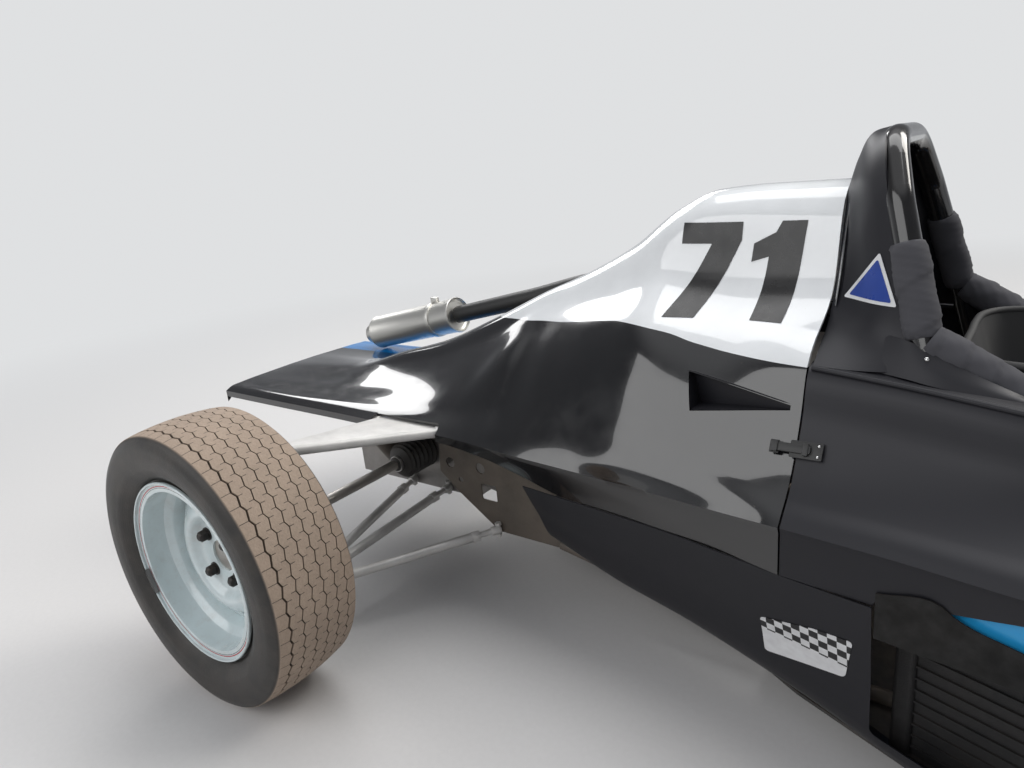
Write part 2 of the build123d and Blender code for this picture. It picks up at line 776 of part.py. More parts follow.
# Ducts: inner wall and roof over the radiators
duct_wall_y = rail_y + tube_radius + seat_gap
with BuildPart() as radiator_ducts:
    for side in (-1, 1):
        with BuildSketch(Plane(origin=(at(radiator_station), 0, 0), x_dir=(0, side, 0), z_dir=(side, 0, 0))):
            with BuildLine():
                Polyline((duct_wall_y, floor_top + 2), (duct_wall_y, pod_top - sheet - seat_gap),
                         (400, pod_top - sheet - seat_gap), (400, pod_top - sheet - seat_gap - sheet),
                         (duct_wall_y + sheet, pod_top - sheet - seat_gap - sheet),
                         (duct_wall_y + sheet, floor_top + 2), close=True)
            make_face()
        extrude(amount=side * 770)
save(radiator_ducts.part, "radiator_ducts")


def ring(profile, middle_y, axle_x, axle_z):
    """Solid of revolution about a cross axle, from (outboard, radius) points."""
    with BuildSketch(Plane(origin=(axle_x, middle_y, axle_z), x_dir=(0, 1, 0), z_dir=(1, 0, 0))) as half:
        with BuildLine():
            Polyline(*profile, close=True)
        make_face()
    revolve(half.sketch, axis=Axis((axle_x, middle_y, axle_z), (0, 1, 0)))


wheel_corners = [
    # name, axle x, side, middle y, tyre radius, tyre width, upright half height
    ("front_left", front_axle_x, 1, front_wheel_y, front_tyre_radius, front_tyre_width, front_upright_half),
    ("front_right", front_axle_x, -1, front_wheel_y, front_tyre_radius, front_tyre_width, front_upright_half),
    ("rear_left", rear_axle_x, 1, rear_wheel_y, rear_tyre_radius, rear_tyre_width, rear_upright_half),
    ("rear_right", rear_axle_x, -1, rear_wheel_y, rear_tyre_radius, rear_tyre_width, rear_upright_half),
]
for name, axle_x, side, middle, radius, width, upright_half in wheel_corners:
    y = side * middle
    half = width / 2
    bead_half = bead_half_width - seat_gap
    shoulder = half - tread_inset
    front = name.startswith("front")
    with BuildPart() as tyre:
        with BuildSketch(Plane(origin=(axle_x, y, radius), x_dir=(0, 1, 0), z_dir=(1, 0, 0))) as half_tyre:
            with BuildLine():
                Line((-bead_half, bead_radius + seat_gap), (-bead_half, flange_radius + 2))
                ThreePointArc((-bead_half, flange_radius + 2), (-half, bulge_radius),
                              (-shoulder, radius - shoulder_drop))
                ThreePointArc((-shoulder, radius - shoulder_drop), (0, radius),
                              (shoulder, radius - shoulder_drop))
                ThreePointArc((shoulder, radius - shoulder_drop), (half, bulge_radius),
                              (bead_half, flange_radius + 2))
                Line((bead_half, flange_radius + 2), (bead_half, bead_radius + seat_gap))
                Line((bead_half, bead_radius + seat_gap), (-bead_half, bead_radius + seat_gap))
            make_face()
        revolve(half_tyre.sketch, axis=Axis((axle_x, y, radius), (0, 1, 0)))
    save(tyre.part, f"{name}_tyre")
    with BuildPart() as rim:
        t = steel_wall
        lip = flange_radius - flange_lip
        outer = bead_half_width + t
        # Barrel from the inboard flange lip to the outboard one, then back inside the wall
        top_line = [(-rim_half_width - 3, lip), (-rim_half_width - 1, flange_radius), (-bead_half_width, flange_radius),
                    (-bead_half_width, bead_radius), (-44, bead_radius - 1), (-32, drop_radius), (18, drop_radius),
                    (32, bead_radius - 1), (bead_half_width, bead_radius), (bead_half_width, flange_radius),
                    (rim_half_width + 1, flange_radius), (rim_half_width + 3, lip)]
        under_line = [(rim_half_width, lip), (rim_half_width - 1, flange_radius - t), (outer, flange_radius - t),
                      (outer, bead_radius - t), (33, bead_radius - t - 1), (19, drop_radius - t),
                      (-33, drop_radius - t), (-45, bead_radius - t - 1), (-outer, bead_radius - t),
                      (-outer, flange_radius - t), (1 - rim_half_width, flange_radius - t), (-rim_half_width, lip)]
        ring(top_line + under_line, y, axle_x, radius)
        face = [(hub_face, hub_bore_radius), (hub_face, 70), (17, 82), (22, 94), (19, 104), (4, 128), (-8, 146)]
        back = [(a - wheel_disc_wall * 0.5, r) for a, r in face]
        outside = [(a + wheel_disc_wall * 0.5, r) for a, r in reversed(face)]
        ring([(side * a, r) for a, r in back + outside], y, axle_x, radius)
        with BuildSketch(Plane(origin=(axle_x, y - side * 30, radius), z_dir=(0, side, 0))) as holes:
            with PolarLocations(vent_circle_radius, vent_count):
                SlotOverall(*vent_size, rotation=90)
            with PolarLocations(stud_circle_radius, stud_count, start_angle=45):
                Circle(stud_radius + seat_gap)
        extrude(holes.sketch, amount=60, mode=Mode.SUBTRACT)
    save(rim.part, f"{name}_rim")
    # Hub with brake disc, studs and shaft
    with BuildPart() as hub:
        inner = side * (hub_face - wheel_disc_wall / 2)
        shaft_end = -side * (upright_inboard + 40)
        disc_out = -side * brake_disc_inboard
        disc_in = -side * (brake_disc_inboard + brake_disc_wall)
        ring([(inner, 0), (inner, hub_flange_radius), (inner - side * 12, hub_flange_radius),
              (inner - side * 12, 50), (disc_out, 50), (disc_out, brake_disc_radius),
              (disc_in, brake_disc_radius), (disc_in, 44), (disc_in - side * 8, 44),
              (disc_in - side * 8, stub_radius), (shaft_end, stub_radius), (shaft_end, 0)],
             y, axle_x, radius)
        with BuildSketch(Plane(origin=(axle_x, y + inner - side * 4, radius), z_dir=(0, side, 0))) as studs:
            with PolarLocations(stud_circle_radius, stud_count, start_angle=45):
                Circle(stud_radius)
        extrude(studs.sketch, amount=stud_length + 4)
        if not front:
            # Drive shaft, with the folded boot of its inner joint
            folds = [(side * boot_inner_y, 0)]
            for index in range(boot_folds):
                folds += [(side * (boot_inner_y + index * boot_pitch), boot_radius - boot_fold),
                          (side * (boot_inner_y + (index + 0.5) * boot_pitch), boot_radius)]
            boot_end = side * (boot_inner_y + boot_folds * boot_pitch)
            ring(folds + [(boot_end, boot_radius - boot_fold), (boot_end, 0)], 0, axle_x, radius)
            ring([(boot_end - side, 0), (boot_end - side, driveshaft_radius), (y + shaft_end, driveshaft_radius),
                  (y + shaft_end, 0)], 0, axle_x, radius)
    save(hub.part, f"{name}_hub")
    # Upright with its brake caliper
    with BuildPart() as upright:
        inboard = king_pin_inboard if front else upright_inboard
        pin_y = side * (middle - inboard)
        disc_y = side * (middle - brake_disc_inboard - brake_disc_wall / 2)
        with Locations((axle_x, pin_y, radius)):
            Box(46, upright_wall, 2 * upright_half)
        with Locations(Plane(origin=(axle_x, side * (middle - 96), radius), z_dir=(0, 1, 0))):
            Cylinder(34, 74)
        caliper_x = axle_x - brake_disc_radius + 13
        with Locations((caliper_x, disc_y, radius)):
            Box(50, 48, 90)
        with Locations((caliper_x + 5, disc_y, radius)):
            Box(50, brake_disc_wall + 10, 100, mode=Mode.SUBTRACT)
        with Locations((axle_x - 62, side * (middle - 68), radius)):
            Box(100, 14, 40)
        with BuildSketch(Plane(origin=(axle_x, 0, radius), z_dir=(0, side, 0))) as bore:
            Circle(stub_radius + running_clearance)
        extrude(bore.sketch, amount=middle, mode=Mode.SUBTRACT)
        if front:
            with Locations((axle_x + steering_arm_length / 2 + 20, pin_y, steering_arm_z)):
                Box(steering_arm_length, 22, steering_arm_wall)
    save(upright.part, f"{name}_upright")


def ball_boss(x, y, z, radius):
    """Upright boss of a ball joint, around the arms that meet there."""
    with Locations((x, y, z)):
        Cylinder(ball_boss_radius, 2 * (radius + ball_boss_spare))


# Suspension arms
with BuildPart() as front_arms:
    for start, end in front_bars:
        bar(start, end, arm_radius)
    for ball in front_balls:
        ball_boss(*ball, arm_radius)
save(front_arms.part, "front_arms")

with BuildPart() as front_pushrods:
    for start, end in pushrods:
        bar(start, end, pushrod_radius)
save(front_pushrods.part, "front_pushrods")


def rear_arm(ball, foot, face_y):
    """Bar from a ball joint to a foot given as (station, height) on a side face."""
    side = 1 if ball[1] > 0 else -1
    end = (at(foot[0]), side * face_y, foot[1])
    bar(ball, landed(ball, end, face_y, rear_arm_radius), rear_arm_radius)


upper_z = ball_z(rear_tyre_radius, rear_upright_half, rear_arm_radius, 1)
lower_z = ball_z(rear_tyre_radius, rear_upright_half, rear_arm_radius, -1)
web_share = 0.62
web_wall = 5
with BuildPart() as rear_upper_arms:
    for side in (-1, 1):
        ball = Vector(at(0), side * rear_ball_y, upper_z)
        ends = [Vector(at(foot), side * member_half, upper_foot_z) for foot in upper_feet]
        for foot in upper_feet:
            rear_arm(tuple(ball), (foot, upper_foot_z), member_half)
        # Sheet web between the two tubes
        ways = [end - ball for end in ends]
        web = Plane(origin=ball, x_dir=ways[0], z_dir=ways[0].cross(ways[1]))
        far = web.to_local_coords(ball + ways[1] * web_share)
        with BuildSketch(web.offset(-web_wall / 2)):
            with BuildLine():
                Polyline((0, 0), (ways[0].length * web_share, 0), (far.X, far.Y), close=True)
            make_face()
        extrude(amount=web_wall)
        ball_boss(*ball, rear_arm_radius)
save(rear_upper_arms.part, "rear_upper_arms")

with BuildPart() as rear_lower_arms:
    for side in (-1, 1):
        ball = (at(0), side * rear_ball_y, lower_z)
        rear_arm(ball, (-95, 165), gearbox_half_width)
        rear_arm(ball, (30, 165), gearbox_half_width)
        rear_arm(ball, (270, 150), plate_y + 1.5)
        ball_boss(*ball, rear_arm_radius)
save(rear_lower_arms.part, "rear_lower_arms")

with BuildPart() as rear_dampers:
    for side in (-1, 1):
        bar((at(damper_station + 5), side * 190, 333.2), (at(damper_station + 5), side * 120, 226), 28)
save(rear_dampers.part, "rear_dampers")

# Steering
rack_housing_radius = 18
with BuildPart() as rack_housing:
    with Locations(Plane(origin=(rack_x, 0, rack_z), z_dir=(0, 1, 0))):
        Cylinder(rack_housing_radius, 270)
    clamp = at(bulkhead_station) - brace_radius - seat_gap
    for side in (-1, 1):
        with Locations(((rack_x + clamp) / 2, side * (front_rail_y - 4), rack_z)):
            Box(clamp - rack_x, 26, 30)
    with BuildSketch(Plane.XZ.offset(-200)) as bore:
        with Locations((rack_x, rack_z)):
            Circle(rack_radius + running_clearance)
    extrude(bore.sketch, amount=400, mode=Mode.SUBTRACT)
save(rack_housing.part, "rack_housing")

with BuildPart() as track_rods:
    bar((rack_x, -king_pin_y, rack_z), (rack_x, king_pin_y, rack_z), rack_radius)
save(track_rods.part, "track_rods")

wheel_hub_radius = 34
with BuildPart() as steering_wheel:
    with Locations(Plane(origin=wheel_centre, z_dir=column_way)):
        Torus(steering_wheel_radius, steering_grip_radius)
        Cylinder(wheel_hub_radius, 14)
    with BuildSketch(Plane(origin=wheel_centre - column_way * 2, x_dir=(0, 1, 0), z_dir=column_way)) as spokes:
        with PolarLocations(0, 3, start_angle=90):
            with Locations((steering_wheel_radius / 2, 0)):
                Rectangle(steering_wheel_radius, 26)
            with Locations((steering_wheel_radius * 0.55, 0)):
                Circle(7, mode=Mode.SUBTRACT)
    extrude(spokes.sketch, amount=4)
    bar(wheel_centre, wheel_centre + column_way * (column_run.length - rack_housing_radius - seat_gap),
        column_radius)
save(steering_wheel.part, "steering_wheel")
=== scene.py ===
"""Open wheel racing car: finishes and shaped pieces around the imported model.

Lengths are metres in the frame's own axes, with +X to the nose, +Y to the left side and +Z up.
"""
import json
import math

import bmesh
import bpy
from bpy.props import FloatProperty, FloatVectorProperty, IntProperty, PointerProperty
from mathutils import Matrix, Vector


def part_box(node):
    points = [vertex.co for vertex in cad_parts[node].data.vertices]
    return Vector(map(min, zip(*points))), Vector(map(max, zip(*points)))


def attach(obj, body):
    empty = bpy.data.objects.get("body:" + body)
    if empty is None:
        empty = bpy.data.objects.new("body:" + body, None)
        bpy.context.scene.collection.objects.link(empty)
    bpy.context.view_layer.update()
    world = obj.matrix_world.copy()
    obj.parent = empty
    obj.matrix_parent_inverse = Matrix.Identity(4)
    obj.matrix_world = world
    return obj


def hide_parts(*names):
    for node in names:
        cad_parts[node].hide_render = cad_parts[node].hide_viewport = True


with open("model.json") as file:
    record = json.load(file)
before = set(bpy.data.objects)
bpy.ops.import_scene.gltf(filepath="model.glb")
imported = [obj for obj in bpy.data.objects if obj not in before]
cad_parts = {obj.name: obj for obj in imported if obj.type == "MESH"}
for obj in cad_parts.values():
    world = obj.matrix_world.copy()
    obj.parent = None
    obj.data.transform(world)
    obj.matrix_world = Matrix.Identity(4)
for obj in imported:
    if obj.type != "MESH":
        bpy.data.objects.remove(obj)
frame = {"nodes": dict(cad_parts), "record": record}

bl_info = {
    "name": "Open Wheel Racing Car",
    "version": (1, 0),
    "blender": (4, 5, 0),
    "location": "View3D > Sidebar > Racing Car",
    "description": "Finishes and shaped pieces of a single seater racing car around its packed model",
    "category": "Object",
}

ROOT = "root"
SIDES = (("left", 1), ("right", -1))


def centre(node):
    """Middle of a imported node's box."""
    low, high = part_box(node)
    return (low + high) / 2


REAR_AXLE_X = centre("rear_left_tyre").x


def at(station):
    """Frame x of a station, in millimetres ahead of the rear axle."""
    return REAR_AXLE_X + station / 1000


class PaintColours(bpy.types.PropertyGroup):
    black: FloatVectorProperty(
        name="Body black", description="Gloss black of the bodywork", subtype="COLOR",
        default=(0.006, 0.006, 0.007))
    white: FloatVectorProperty(
        name="Panel white", description="White of the engine cover's top", subtype="COLOR",
        default=(0.80, 0.82, 0.83))
    azure: FloatVectorProperty(
        name="Duct azure", description="Blue of the radiator ducts", subtype="COLOR",
        default=(0.0, 0.26, 0.72))
    enamel: FloatVectorProperty(
        name="Wheel enamel", description="Pale blue white of the steel wheels", subtype="COLOR",
        default=(0.66, 0.75, 0.765))
    pinstripe: FloatVectorProperty(
        name="Pinstripe red", description="Red line round each rim", subtype="COLOR",
        default=(0.38, 0.02, 0.03))
    dust: FloatVectorProperty(
        name="Road dust", description="Dust on the treads and lower parts", subtype="COLOR",
        default=(0.34, 0.265, 0.205))
    sign_blue: FloatVectorProperty(
        name="Sign blue", description="Field of the blank triangle", subtype="COLOR",
        default=(0.012, 0.05, 0.30))


class StudioSizes(bpy.types.PropertyGroup):
    camera_place: FloatVectorProperty(
        name="Camera place", description="Where the camera stands", subtype="TRANSLATION",
        unit="LENGTH", default=(-0.095, -1.319, 0.951))
    azimuth: FloatProperty(
        name="Azimuth", description="Turn of the view from +Y towards -X", subtype="ANGLE",
        default=math.radians(38.0))
    tilt: FloatProperty(
        name="Tilt", description="How far the view looks down", subtype="ANGLE",
        default=math.radians(17.12))
    roll: FloatProperty(
        name="Roll", description="Turn of the camera about its own line of sight", subtype="ANGLE",
        default=math.radians(-5.66))
    lens: FloatProperty(
        name="Lens", description="Focal length in millimetres on a 36 mm sensor", default=25.3125)
    floor_colour: FloatVectorProperty(
        name="Floor", description="Plain pale floor", subtype="COLOR", default=(0.62, 0.61, 0.60))
    backdrop_colour: FloatVectorProperty(
        name="Backdrop", description="Plain pale backdrop", subtype="COLOR", default=(0.74, 0.75, 0.76))


class BodySizes(bpy.types.PropertyGroup):
    skin: FloatProperty(
        name="Skin", description="Wall of the body panels", unit="LENGTH", default=0.004)
    pitch: FloatProperty(
        name="Pitch", description="Distance between two sections of a panel", unit="LENGTH", default=0.012)
    lip: FloatProperty(
        name="Tail lip", description="Height of the deck's turned down edge", unit="LENGTH", default=0.016)
    number_height: FloatProperty(
        name="Number height", description="Height of the race number", unit="LENGTH", default=0.150)


class WheelSizes(bpy.types.PropertyGroup):
    steps: IntProperty(name="Steps", description="Steps round a tyre for each zigzag", default=8)
    zigzags: IntProperty(name="Zigzags", description="Zigzags of a groove round the tyre", default=62)
    groove_depth: FloatProperty(
        name="Groove depth", description="Depth of the tread's grooves", unit="LENGTH", default=0.0065)
    zigzag: FloatProperty(
        name="Zigzag", description="How far a groove swings to each side", unit="LENGTH", default=0.0024)


# Node helpers


def put(tree, kind, inputs=None, **settings):
    """Adds a node with its settings and its inputs, each a value or another node's output."""
    new = tree.nodes.new(kind)
    for key, value in settings.items():
        setattr(new, key, value)
    for key, value in (inputs or {}).items():
        if isinstance(value, bpy.types.NodeSocket):
            tree.links.new(value, new.inputs[key])
        else:
            new.inputs[key].default_value = value
    return new


def start(name, **sockets):
    """New material and its tree, with constants set on the shader's own sockets."""
    material = bpy.data.materials.new(name)
    material.use_nodes = True
    tree = material.node_tree
    for key, value in sockets.items():
        tree.nodes["Principled BSDF"].inputs[key.replace("_", " ")].default_value = value
    return material, tree


def to_shader(tree, socket, value):
    """Feeds a node's output to the shader."""
    tree.links.new(value, tree.nodes["Principled BSDF"].inputs[socket])


def object_place(tree):
    """Place on the piece in its own axes, which are the frame's."""
    return put(tree, "ShaderNodeTexCoord").outputs["Object"]


def noise(tree, place, scale, detail=4.0, roughness=0.55):
    """Noise from nought to one."""
    return put(tree, "ShaderNodeTexNoise",
               {"Vector": place, "Scale": scale, "Detail": detail, "Roughness": roughness}).outputs["Fac"]


def between(tree, value, low, high, first=0.0, last=1.0, smooth=False):
    """The value's place between low and high, as a number from first to last."""
    kind = "SMOOTHSTEP" if smooth else "LINEAR"
    return put(tree, "ShaderNodeMapRange",
               {"Value": value, "From Min": low, "From Max": high, "To Min": first, "To Max": last},
               interpolation_type=kind).outputs["Result"]


def sum_up(tree, operation, first, second=0.0):
    """Result of a sum of one or two numbers."""
    return put(tree, "ShaderNodeMath", {0: first, 1: second}, operation=operation).outputs[0]


def blend_colour(tree, share, first, second):
    """Colour that goes from the first to the second as share goes from nought to one."""
    node = put(tree, "ShaderNodeMix", data_type="RGBA")
    for socket, value in zip((node.inputs[0], node.inputs[6], node.inputs[7]), (share, first, second)):
        if isinstance(value, bpy.types.NodeSocket):
            tree.links.new(value, socket)
        elif isinstance(value, (int, float)):
            socket.default_value = value
        else:
            socket.default_value = (*value, 1.0)
    return node.outputs[2]


def bumped(tree, height, distance, strength=1.0):
    """Bump on the shader from a height."""
    normal = put(tree, "ShaderNodeBump", {"Height": height, "Distance": distance, "Strength": strength})
    to_shader(tree, "Normal", normal.outputs["Normal"])
    return normal


def facing_up(tree):
    """How far a face looks up, from its true normal."""
    normal = put(tree, "ShaderNodeNewGeometry").outputs["True Normal"]
    return put(tree, "ShaderNodeSeparateXYZ", {0: normal}).outputs["Z"]


# Finishes


def dusty(tree, place, colour, dust, amount, scale=9.0):
    """Colour under patches of dust that lie thicker on what faces up."""
    up = between(tree, facing_up(tree), 0.2, 1.0, 0.25, 1.0)
    patch = between(tree, noise(tree, place, scale, 8.0, 0.65), 0.35, 0.75)
    share = sum_up(tree, "MULTIPLY", sum_up(tree, "MULTIPLY", patch, up), amount)
    return blend_colour(tree, share, colour, dust)


# Stations of the white panel's tip and of its front edge, and the azure strip on the deck's left side
WHITE_TIP, WHITE_EDGE = 190, 955
AZURE_Y, AZURE_STATION = 0.150, -30


def white_line(tree, place):
    """One above the paint line that runs along the engine cover, nought below it."""
    parts = put(tree, "ShaderNodeSeparateXYZ", {0: place})
    reach = between(tree, parts.outputs["X"], at(WHITE_TIP), at(WHITE_EDGE))
    curve = put(tree, "ShaderNodeFloatCurve", {"Value": reach})
    line = curve.mapping.curves[0]
    # Share of the way from the tip to the front edge, and height as a share of 0.55 to 0.75 m
    shares = ((0.0, 0.285), (0.30, 0.375), (0.46, 0.47), (0.54, 0.50), (0.65, 0.475), (0.75, 0.40),
              (0.84, 0.355), (1.0, 0.345))
    line.points[0].location, line.points[1].location = shares[0], shares[-1]
    for share, height in shares[1:-1]:
        line.points.new(share, height)
    curve.mapping.update()
    height = between(tree, curve.outputs[0], 0.0, 1.0, 0.55, 0.75)
    above = sum_up(tree, "SUBTRACT", parts.outputs["Z"], height)
    inside = sum_up(tree, "GREATER_THAN", parts.outputs["X"], at(WHITE_TIP))
    return sum_up(tree, "MULTIPLY", sum_up(tree, "GREATER_THAN", above, 0.0), inside)


def body_paint(colours, name="body_black", panel=False):
    """Gloss black under clear coat, with fine dust, and the white panel where it is asked for."""
    material, tree = start(name, Coat_Weight=1.0, Coat_Roughness=0.03, Coat_IOR=1.5)
    place = object_place(tree)
    colour = (*colours.black,)
    if panel:
        white = blend_colour(tree, between(tree, noise(tree, place, 14.0), 0.35, 0.7),
                             (*colours.white,), tuple(c * 0.93 for c in colours.white))
        colour = blend_colour(tree, white_line(tree, place), colour, white)
        parts = put(tree, "ShaderNodeSeparateXYZ", {0: place})
        stripe = sum_up(tree, "MULTIPLY", sum_up(tree, "GREATER_THAN", parts.outputs["Y"], AZURE_Y),
                        sum_up(tree, "LESS_THAN", parts.outputs["X"], at(AZURE_STATION)))
        colour = blend_colour(tree, stripe, colour, (*colours.azure,))
    specks = between(tree, noise(tree, place, 420.0, 2.0, 0.4), 0.71, 0.76)
    film = between(tree, noise(tree, place, 5.0, 6.0), 0.40, 0.75, 0.0, 0.012)
    up = between(tree, facing_up(tree), 0.3, 1.0)
    share = sum_up(tree, "MULTIPLY", sum_up(tree, "ADD", sum_up(tree, "MULTIPLY", specks, 0.30), film), up)
    to_shader(tree, "Base Color", blend_colour(tree, share, colour, (*colours.dust,)))
    to_shader(tree, "Roughness", between(tree, noise(tree, place, 30.0, 6.0), 0.3, 0.8, 0.10, 0.22))
    bumped(tree, noise(tree, place, 160.0, 2.0), 0.00004, 0.6)
    return material


def plain_finish(name, colour, dust, roughness, amount=0.25, grain=180.0, depth=0.0002, **sockets):
    """Painted, moulded or cast surface with dust, its own grain and patchy roughness."""
    material, tree = start(name, **sockets)
    place = object_place(tree)
    varied = blend_colour(tree, between(tree, noise(tree, place, 22.0, 6.0), 0.3, 0.7),
                          colour, tuple(c * 0.78 for c in colour))
    to_shader(tree, "Base Color", dusty(tree, place, varied, dust, amount))
    rough = between(tree, noise(tree, place, 40.0, 4.0), 0.3, 0.7, roughness * 0.85, roughness * 1.2)
    to_shader(tree, "Roughness", rough)
    bumped(tree, noise(tree, place, grain, 5.0), depth)
    return material


def bright_metal(name, colour, stain, low, high, streak=(1.0, 1.0, 1.0), amount=0.35):
    """Plated or polished metal with stains and fine streaks along one way."""
    material, tree = start(name, Metallic=1.0)
    place = object_place(tree)
    stretched = put(tree, "ShaderNodeMapping", {"Vector": place, "Scale": streak}).outputs[0]
    stains = between(tree, noise(tree, place, 16.0, 10.0, 0.7), 0.52, 0.74, 0.0, amount)
    to_shader(tree, "Base Color", blend_colour(tree, stains, colour, stain))
    fine = noise(tree, stretched, 120.0, 4.0)
    to_shader(tree, "Roughness", between(tree, fine, 0.3, 0.7, low, high))
    bumped(tree, fine, 0.00003)
    return material


def screen_finish():
    """Smoked clear sheet."""
    material, tree = start("screen", Transmission_Weight=1.0, IOR=1.49,
                           Base_Color=(0.10, 0.10, 0.11, 1.0))
    place = object_place(tree)
    to_shader(tree, "Roughness", between(tree, noise(tree, place, 60.0), 0.4, 0.8, 0.02, 0.12))
    return material


def make_finishes(colours):
    """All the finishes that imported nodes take, by the record's slot names."""
    dust = (*colours.dust,)
    return {
        "body_black": body_paint(colours),
        "body_panel": body_paint(colours, "body_panel", panel=True),
        "floor_sheet": plain_finish("floor_sheet", (0.035, 0.035, 0.035), dust, 0.6, 0.4),
        "matt_black": plain_finish("matt_black", (0.016, 0.016, 0.018), dust, 0.42, 0.10),
        "frame_paint": plain_finish("frame_paint", (0.10, 0.085, 0.07), dust, 0.55, 0.75),
        "gloss_tube": plain_finish("gloss_tube", (0.010, 0.010, 0.011), dust, 0.16, 0.06, 60.0, 0.0001,
                                   Coat_Weight=0.6),
        "tape": plain_finish("tape", (0.17, 0.168, 0.165), dust, 0.32, 0.04, 60.0, 0.0001,
                             Coat_Weight=0.6, Coat_Roughness=0.1, Metallic=0.8),
        "seat_shell": plain_finish("seat_shell", (0.02, 0.02, 0.021), dust, 0.5, 0.10),
        "screen": screen_finish(),
        "latch_plate": plain_finish("latch_plate", (0.02, 0.02, 0.02), dust, 0.3, 0.12, Metallic=0.6),
        "bare_steel": bright_metal("bare_steel", (0.50, 0.48, 0.45), (0.20, 0.11, 0.06), 0.34, 0.52),
        "cast_metal": plain_finish("cast_metal", (0.30, 0.29, 0.28), dust, 0.5, 0.5, 120.0, 0.0006,
                                   Metallic=0.7),
        "pipe_black": plain_finish("pipe_black", (0.012, 0.012, 0.013), dust, 0.32, 0.08),
        "stainless": bright_metal("stainless", (0.62, 0.60, 0.56), (0.42, 0.35, 0.26), 0.16, 0.34,
                                  (0.4, 1.0, 1.0)),
        "radiator_black": plain_finish("radiator_black", (0.008, 0.008, 0.009), dust, 0.6, 0.12, 600.0,
                                       0.0012),
        "duct_blue": plain_finish("duct_blue", (*colours.azure,), dust, 0.25, 0.04, Coat_Weight=0.7),
        "silver_paint": plain_finish("silver_paint", (0.62, 0.61, 0.59), dust, 0.42, 0.10, 50.0, 0.0001,
                                     Metallic=0.35),
        "bright_plate": bright_metal("bright_plate", (0.78, 0.76, 0.71), (0.46, 0.40, 0.32), 0.36, 0.52),
        "grip": plain_finish("grip", (0.02, 0.02, 0.02), dust, 0.7, 0.10, 260.0, 0.0005),
        "tyre_rubber": plain_finish("tyre_rubber", (0.018, 0.017, 0.016), dust, 0.62, 0.20),
        "wheel_enamel": plain_finish("wheel_enamel", (*colours.enamel,), dust, 0.22, 0.10, 60.0, 0.0001,
                                     Coat_Weight=0.5),
    }


def attribute(tree, name):
    """Number that the mesh carries at each point."""
    return put(tree, "ShaderNodeAttribute", attribute_name=name).outputs["Fac"]


# Share of a zigzag at which its second corner lies, and half of a sipe as such a share
CORNER = 0.375
SIPE_HALF = 0.022


def tyre_finish(colours, steps):
    """Black walls, a brown tread that is partly road dust and partly painted sunlight, darker in its grooves,
    and short sipes at the zigzags' corners.
    """
    material, tree = start("tyre_tread")
    place = object_place(tree)
    tread, edge, depth, reach = (attribute(tree, name) for name in ("tread", "edge", "depth", "reach"))
    turn = put(tree, "ShaderNodeSeparateXYZ", {0: put(tree, "ShaderNodeUVMap").outputs[0]}).outputs["Y"]

    def sipes(phase, side):
        """Short cuts outwards from the corners at one phase of the zigzag."""
        turned_on = sum_up(tree, "ADD", sum_up(tree, "MULTIPLY", turn, float(steps)), 0.5 - phase)
        corner = sum_up(tree, "SUBTRACT", sum_up(tree, "FRACT", turned_on), 0.5)
        near = sum_up(tree, "LESS_THAN", sum_up(tree, "ABSOLUTE", corner), SIPE_HALF)
        outward = sum_up(tree, "GREATER_THAN", sum_up(tree, "MULTIPLY", edge, side), 0.27)
        return sum_up(tree, "MULTIPLY", near, outward)

    sipe = sum_up(tree, "MAXIMUM", sipes(0.0, 1.0), sipes(CORNER, -1.0))
    sipe = sum_up(tree, "MULTIPLY", sipe, sum_up(tree, "GREATER_THAN", tread, 0.9))
    low = sum_up(tree, "MAXIMUM", sipe, depth)
    patch = between(tree, noise(tree, place, 11.0, 8.0, 0.62), 0.30, 0.70, 0.84, 1.0)
    fine = between(tree, noise(tree, place, 240.0, 3.0), 0.30, 0.70, 0.82, 1.0)
    # Share of the tread colour: patchy, and cut down in the grooves and sipes, which come out darker
    tread_share = sum_up(tree, "MULTIPLY", sum_up(tree, "MULTIPLY", patch, fine),
                  between(tree, low, 0.0, 1.0, 1.0, 0.22))
    rubber = blend_colour(tree, between(tree, noise(tree, place, 30.0, 5.0), 0.35, 0.65),
                          (0.012, 0.0115, 0.011), (0.022, 0.020, 0.018))
    # Tread colour: the dust lightened by a fifth, partly road dust and partly painted sunlight on the tread
    dusty_sunlit_tread = blend_colour(tree, sum_up(tree, "MULTIPLY", tread_share, 0.96), (0.016, 0.013, 0.011),
                         tuple(c * 1.2 for c in colours.dust))
    wall_dust = between(tree, noise(tree, place, 18.0, 8.0, 0.7), 0.42, 0.78, 0.01, 0.09)
    wall = blend_colour(tree, wall_dust, rubber, (*colours.dust,))
    to_shader(tree, "Base Color", blend_colour(tree, between(tree, tread, 0.35, 0.9), wall, dusty_sunlit_tread))
    to_shader(tree, "Roughness", between(tree, tread, 0.0, 1.0, 0.42, 0.85))
    lines = sum_up(tree, "SINE", sum_up(tree, "MULTIPLY", reach, 150.0))
    lines = sum_up(tree, "MULTIPLY", between(tree, lines, 0.2, 0.9), sum_up(tree, "LESS_THAN", reach, 0.55))
    rough = sum_up(tree, "ADD", sum_up(tree, "MULTIPLY", lines, 0.12), noise(tree, place, 300.0, 4.0))
    bumped(tree, sum_up(tree, "SUBTRACT", rough, sum_up(tree, "MULTIPLY", sipe, 3.0)), 0.0006)
    return material


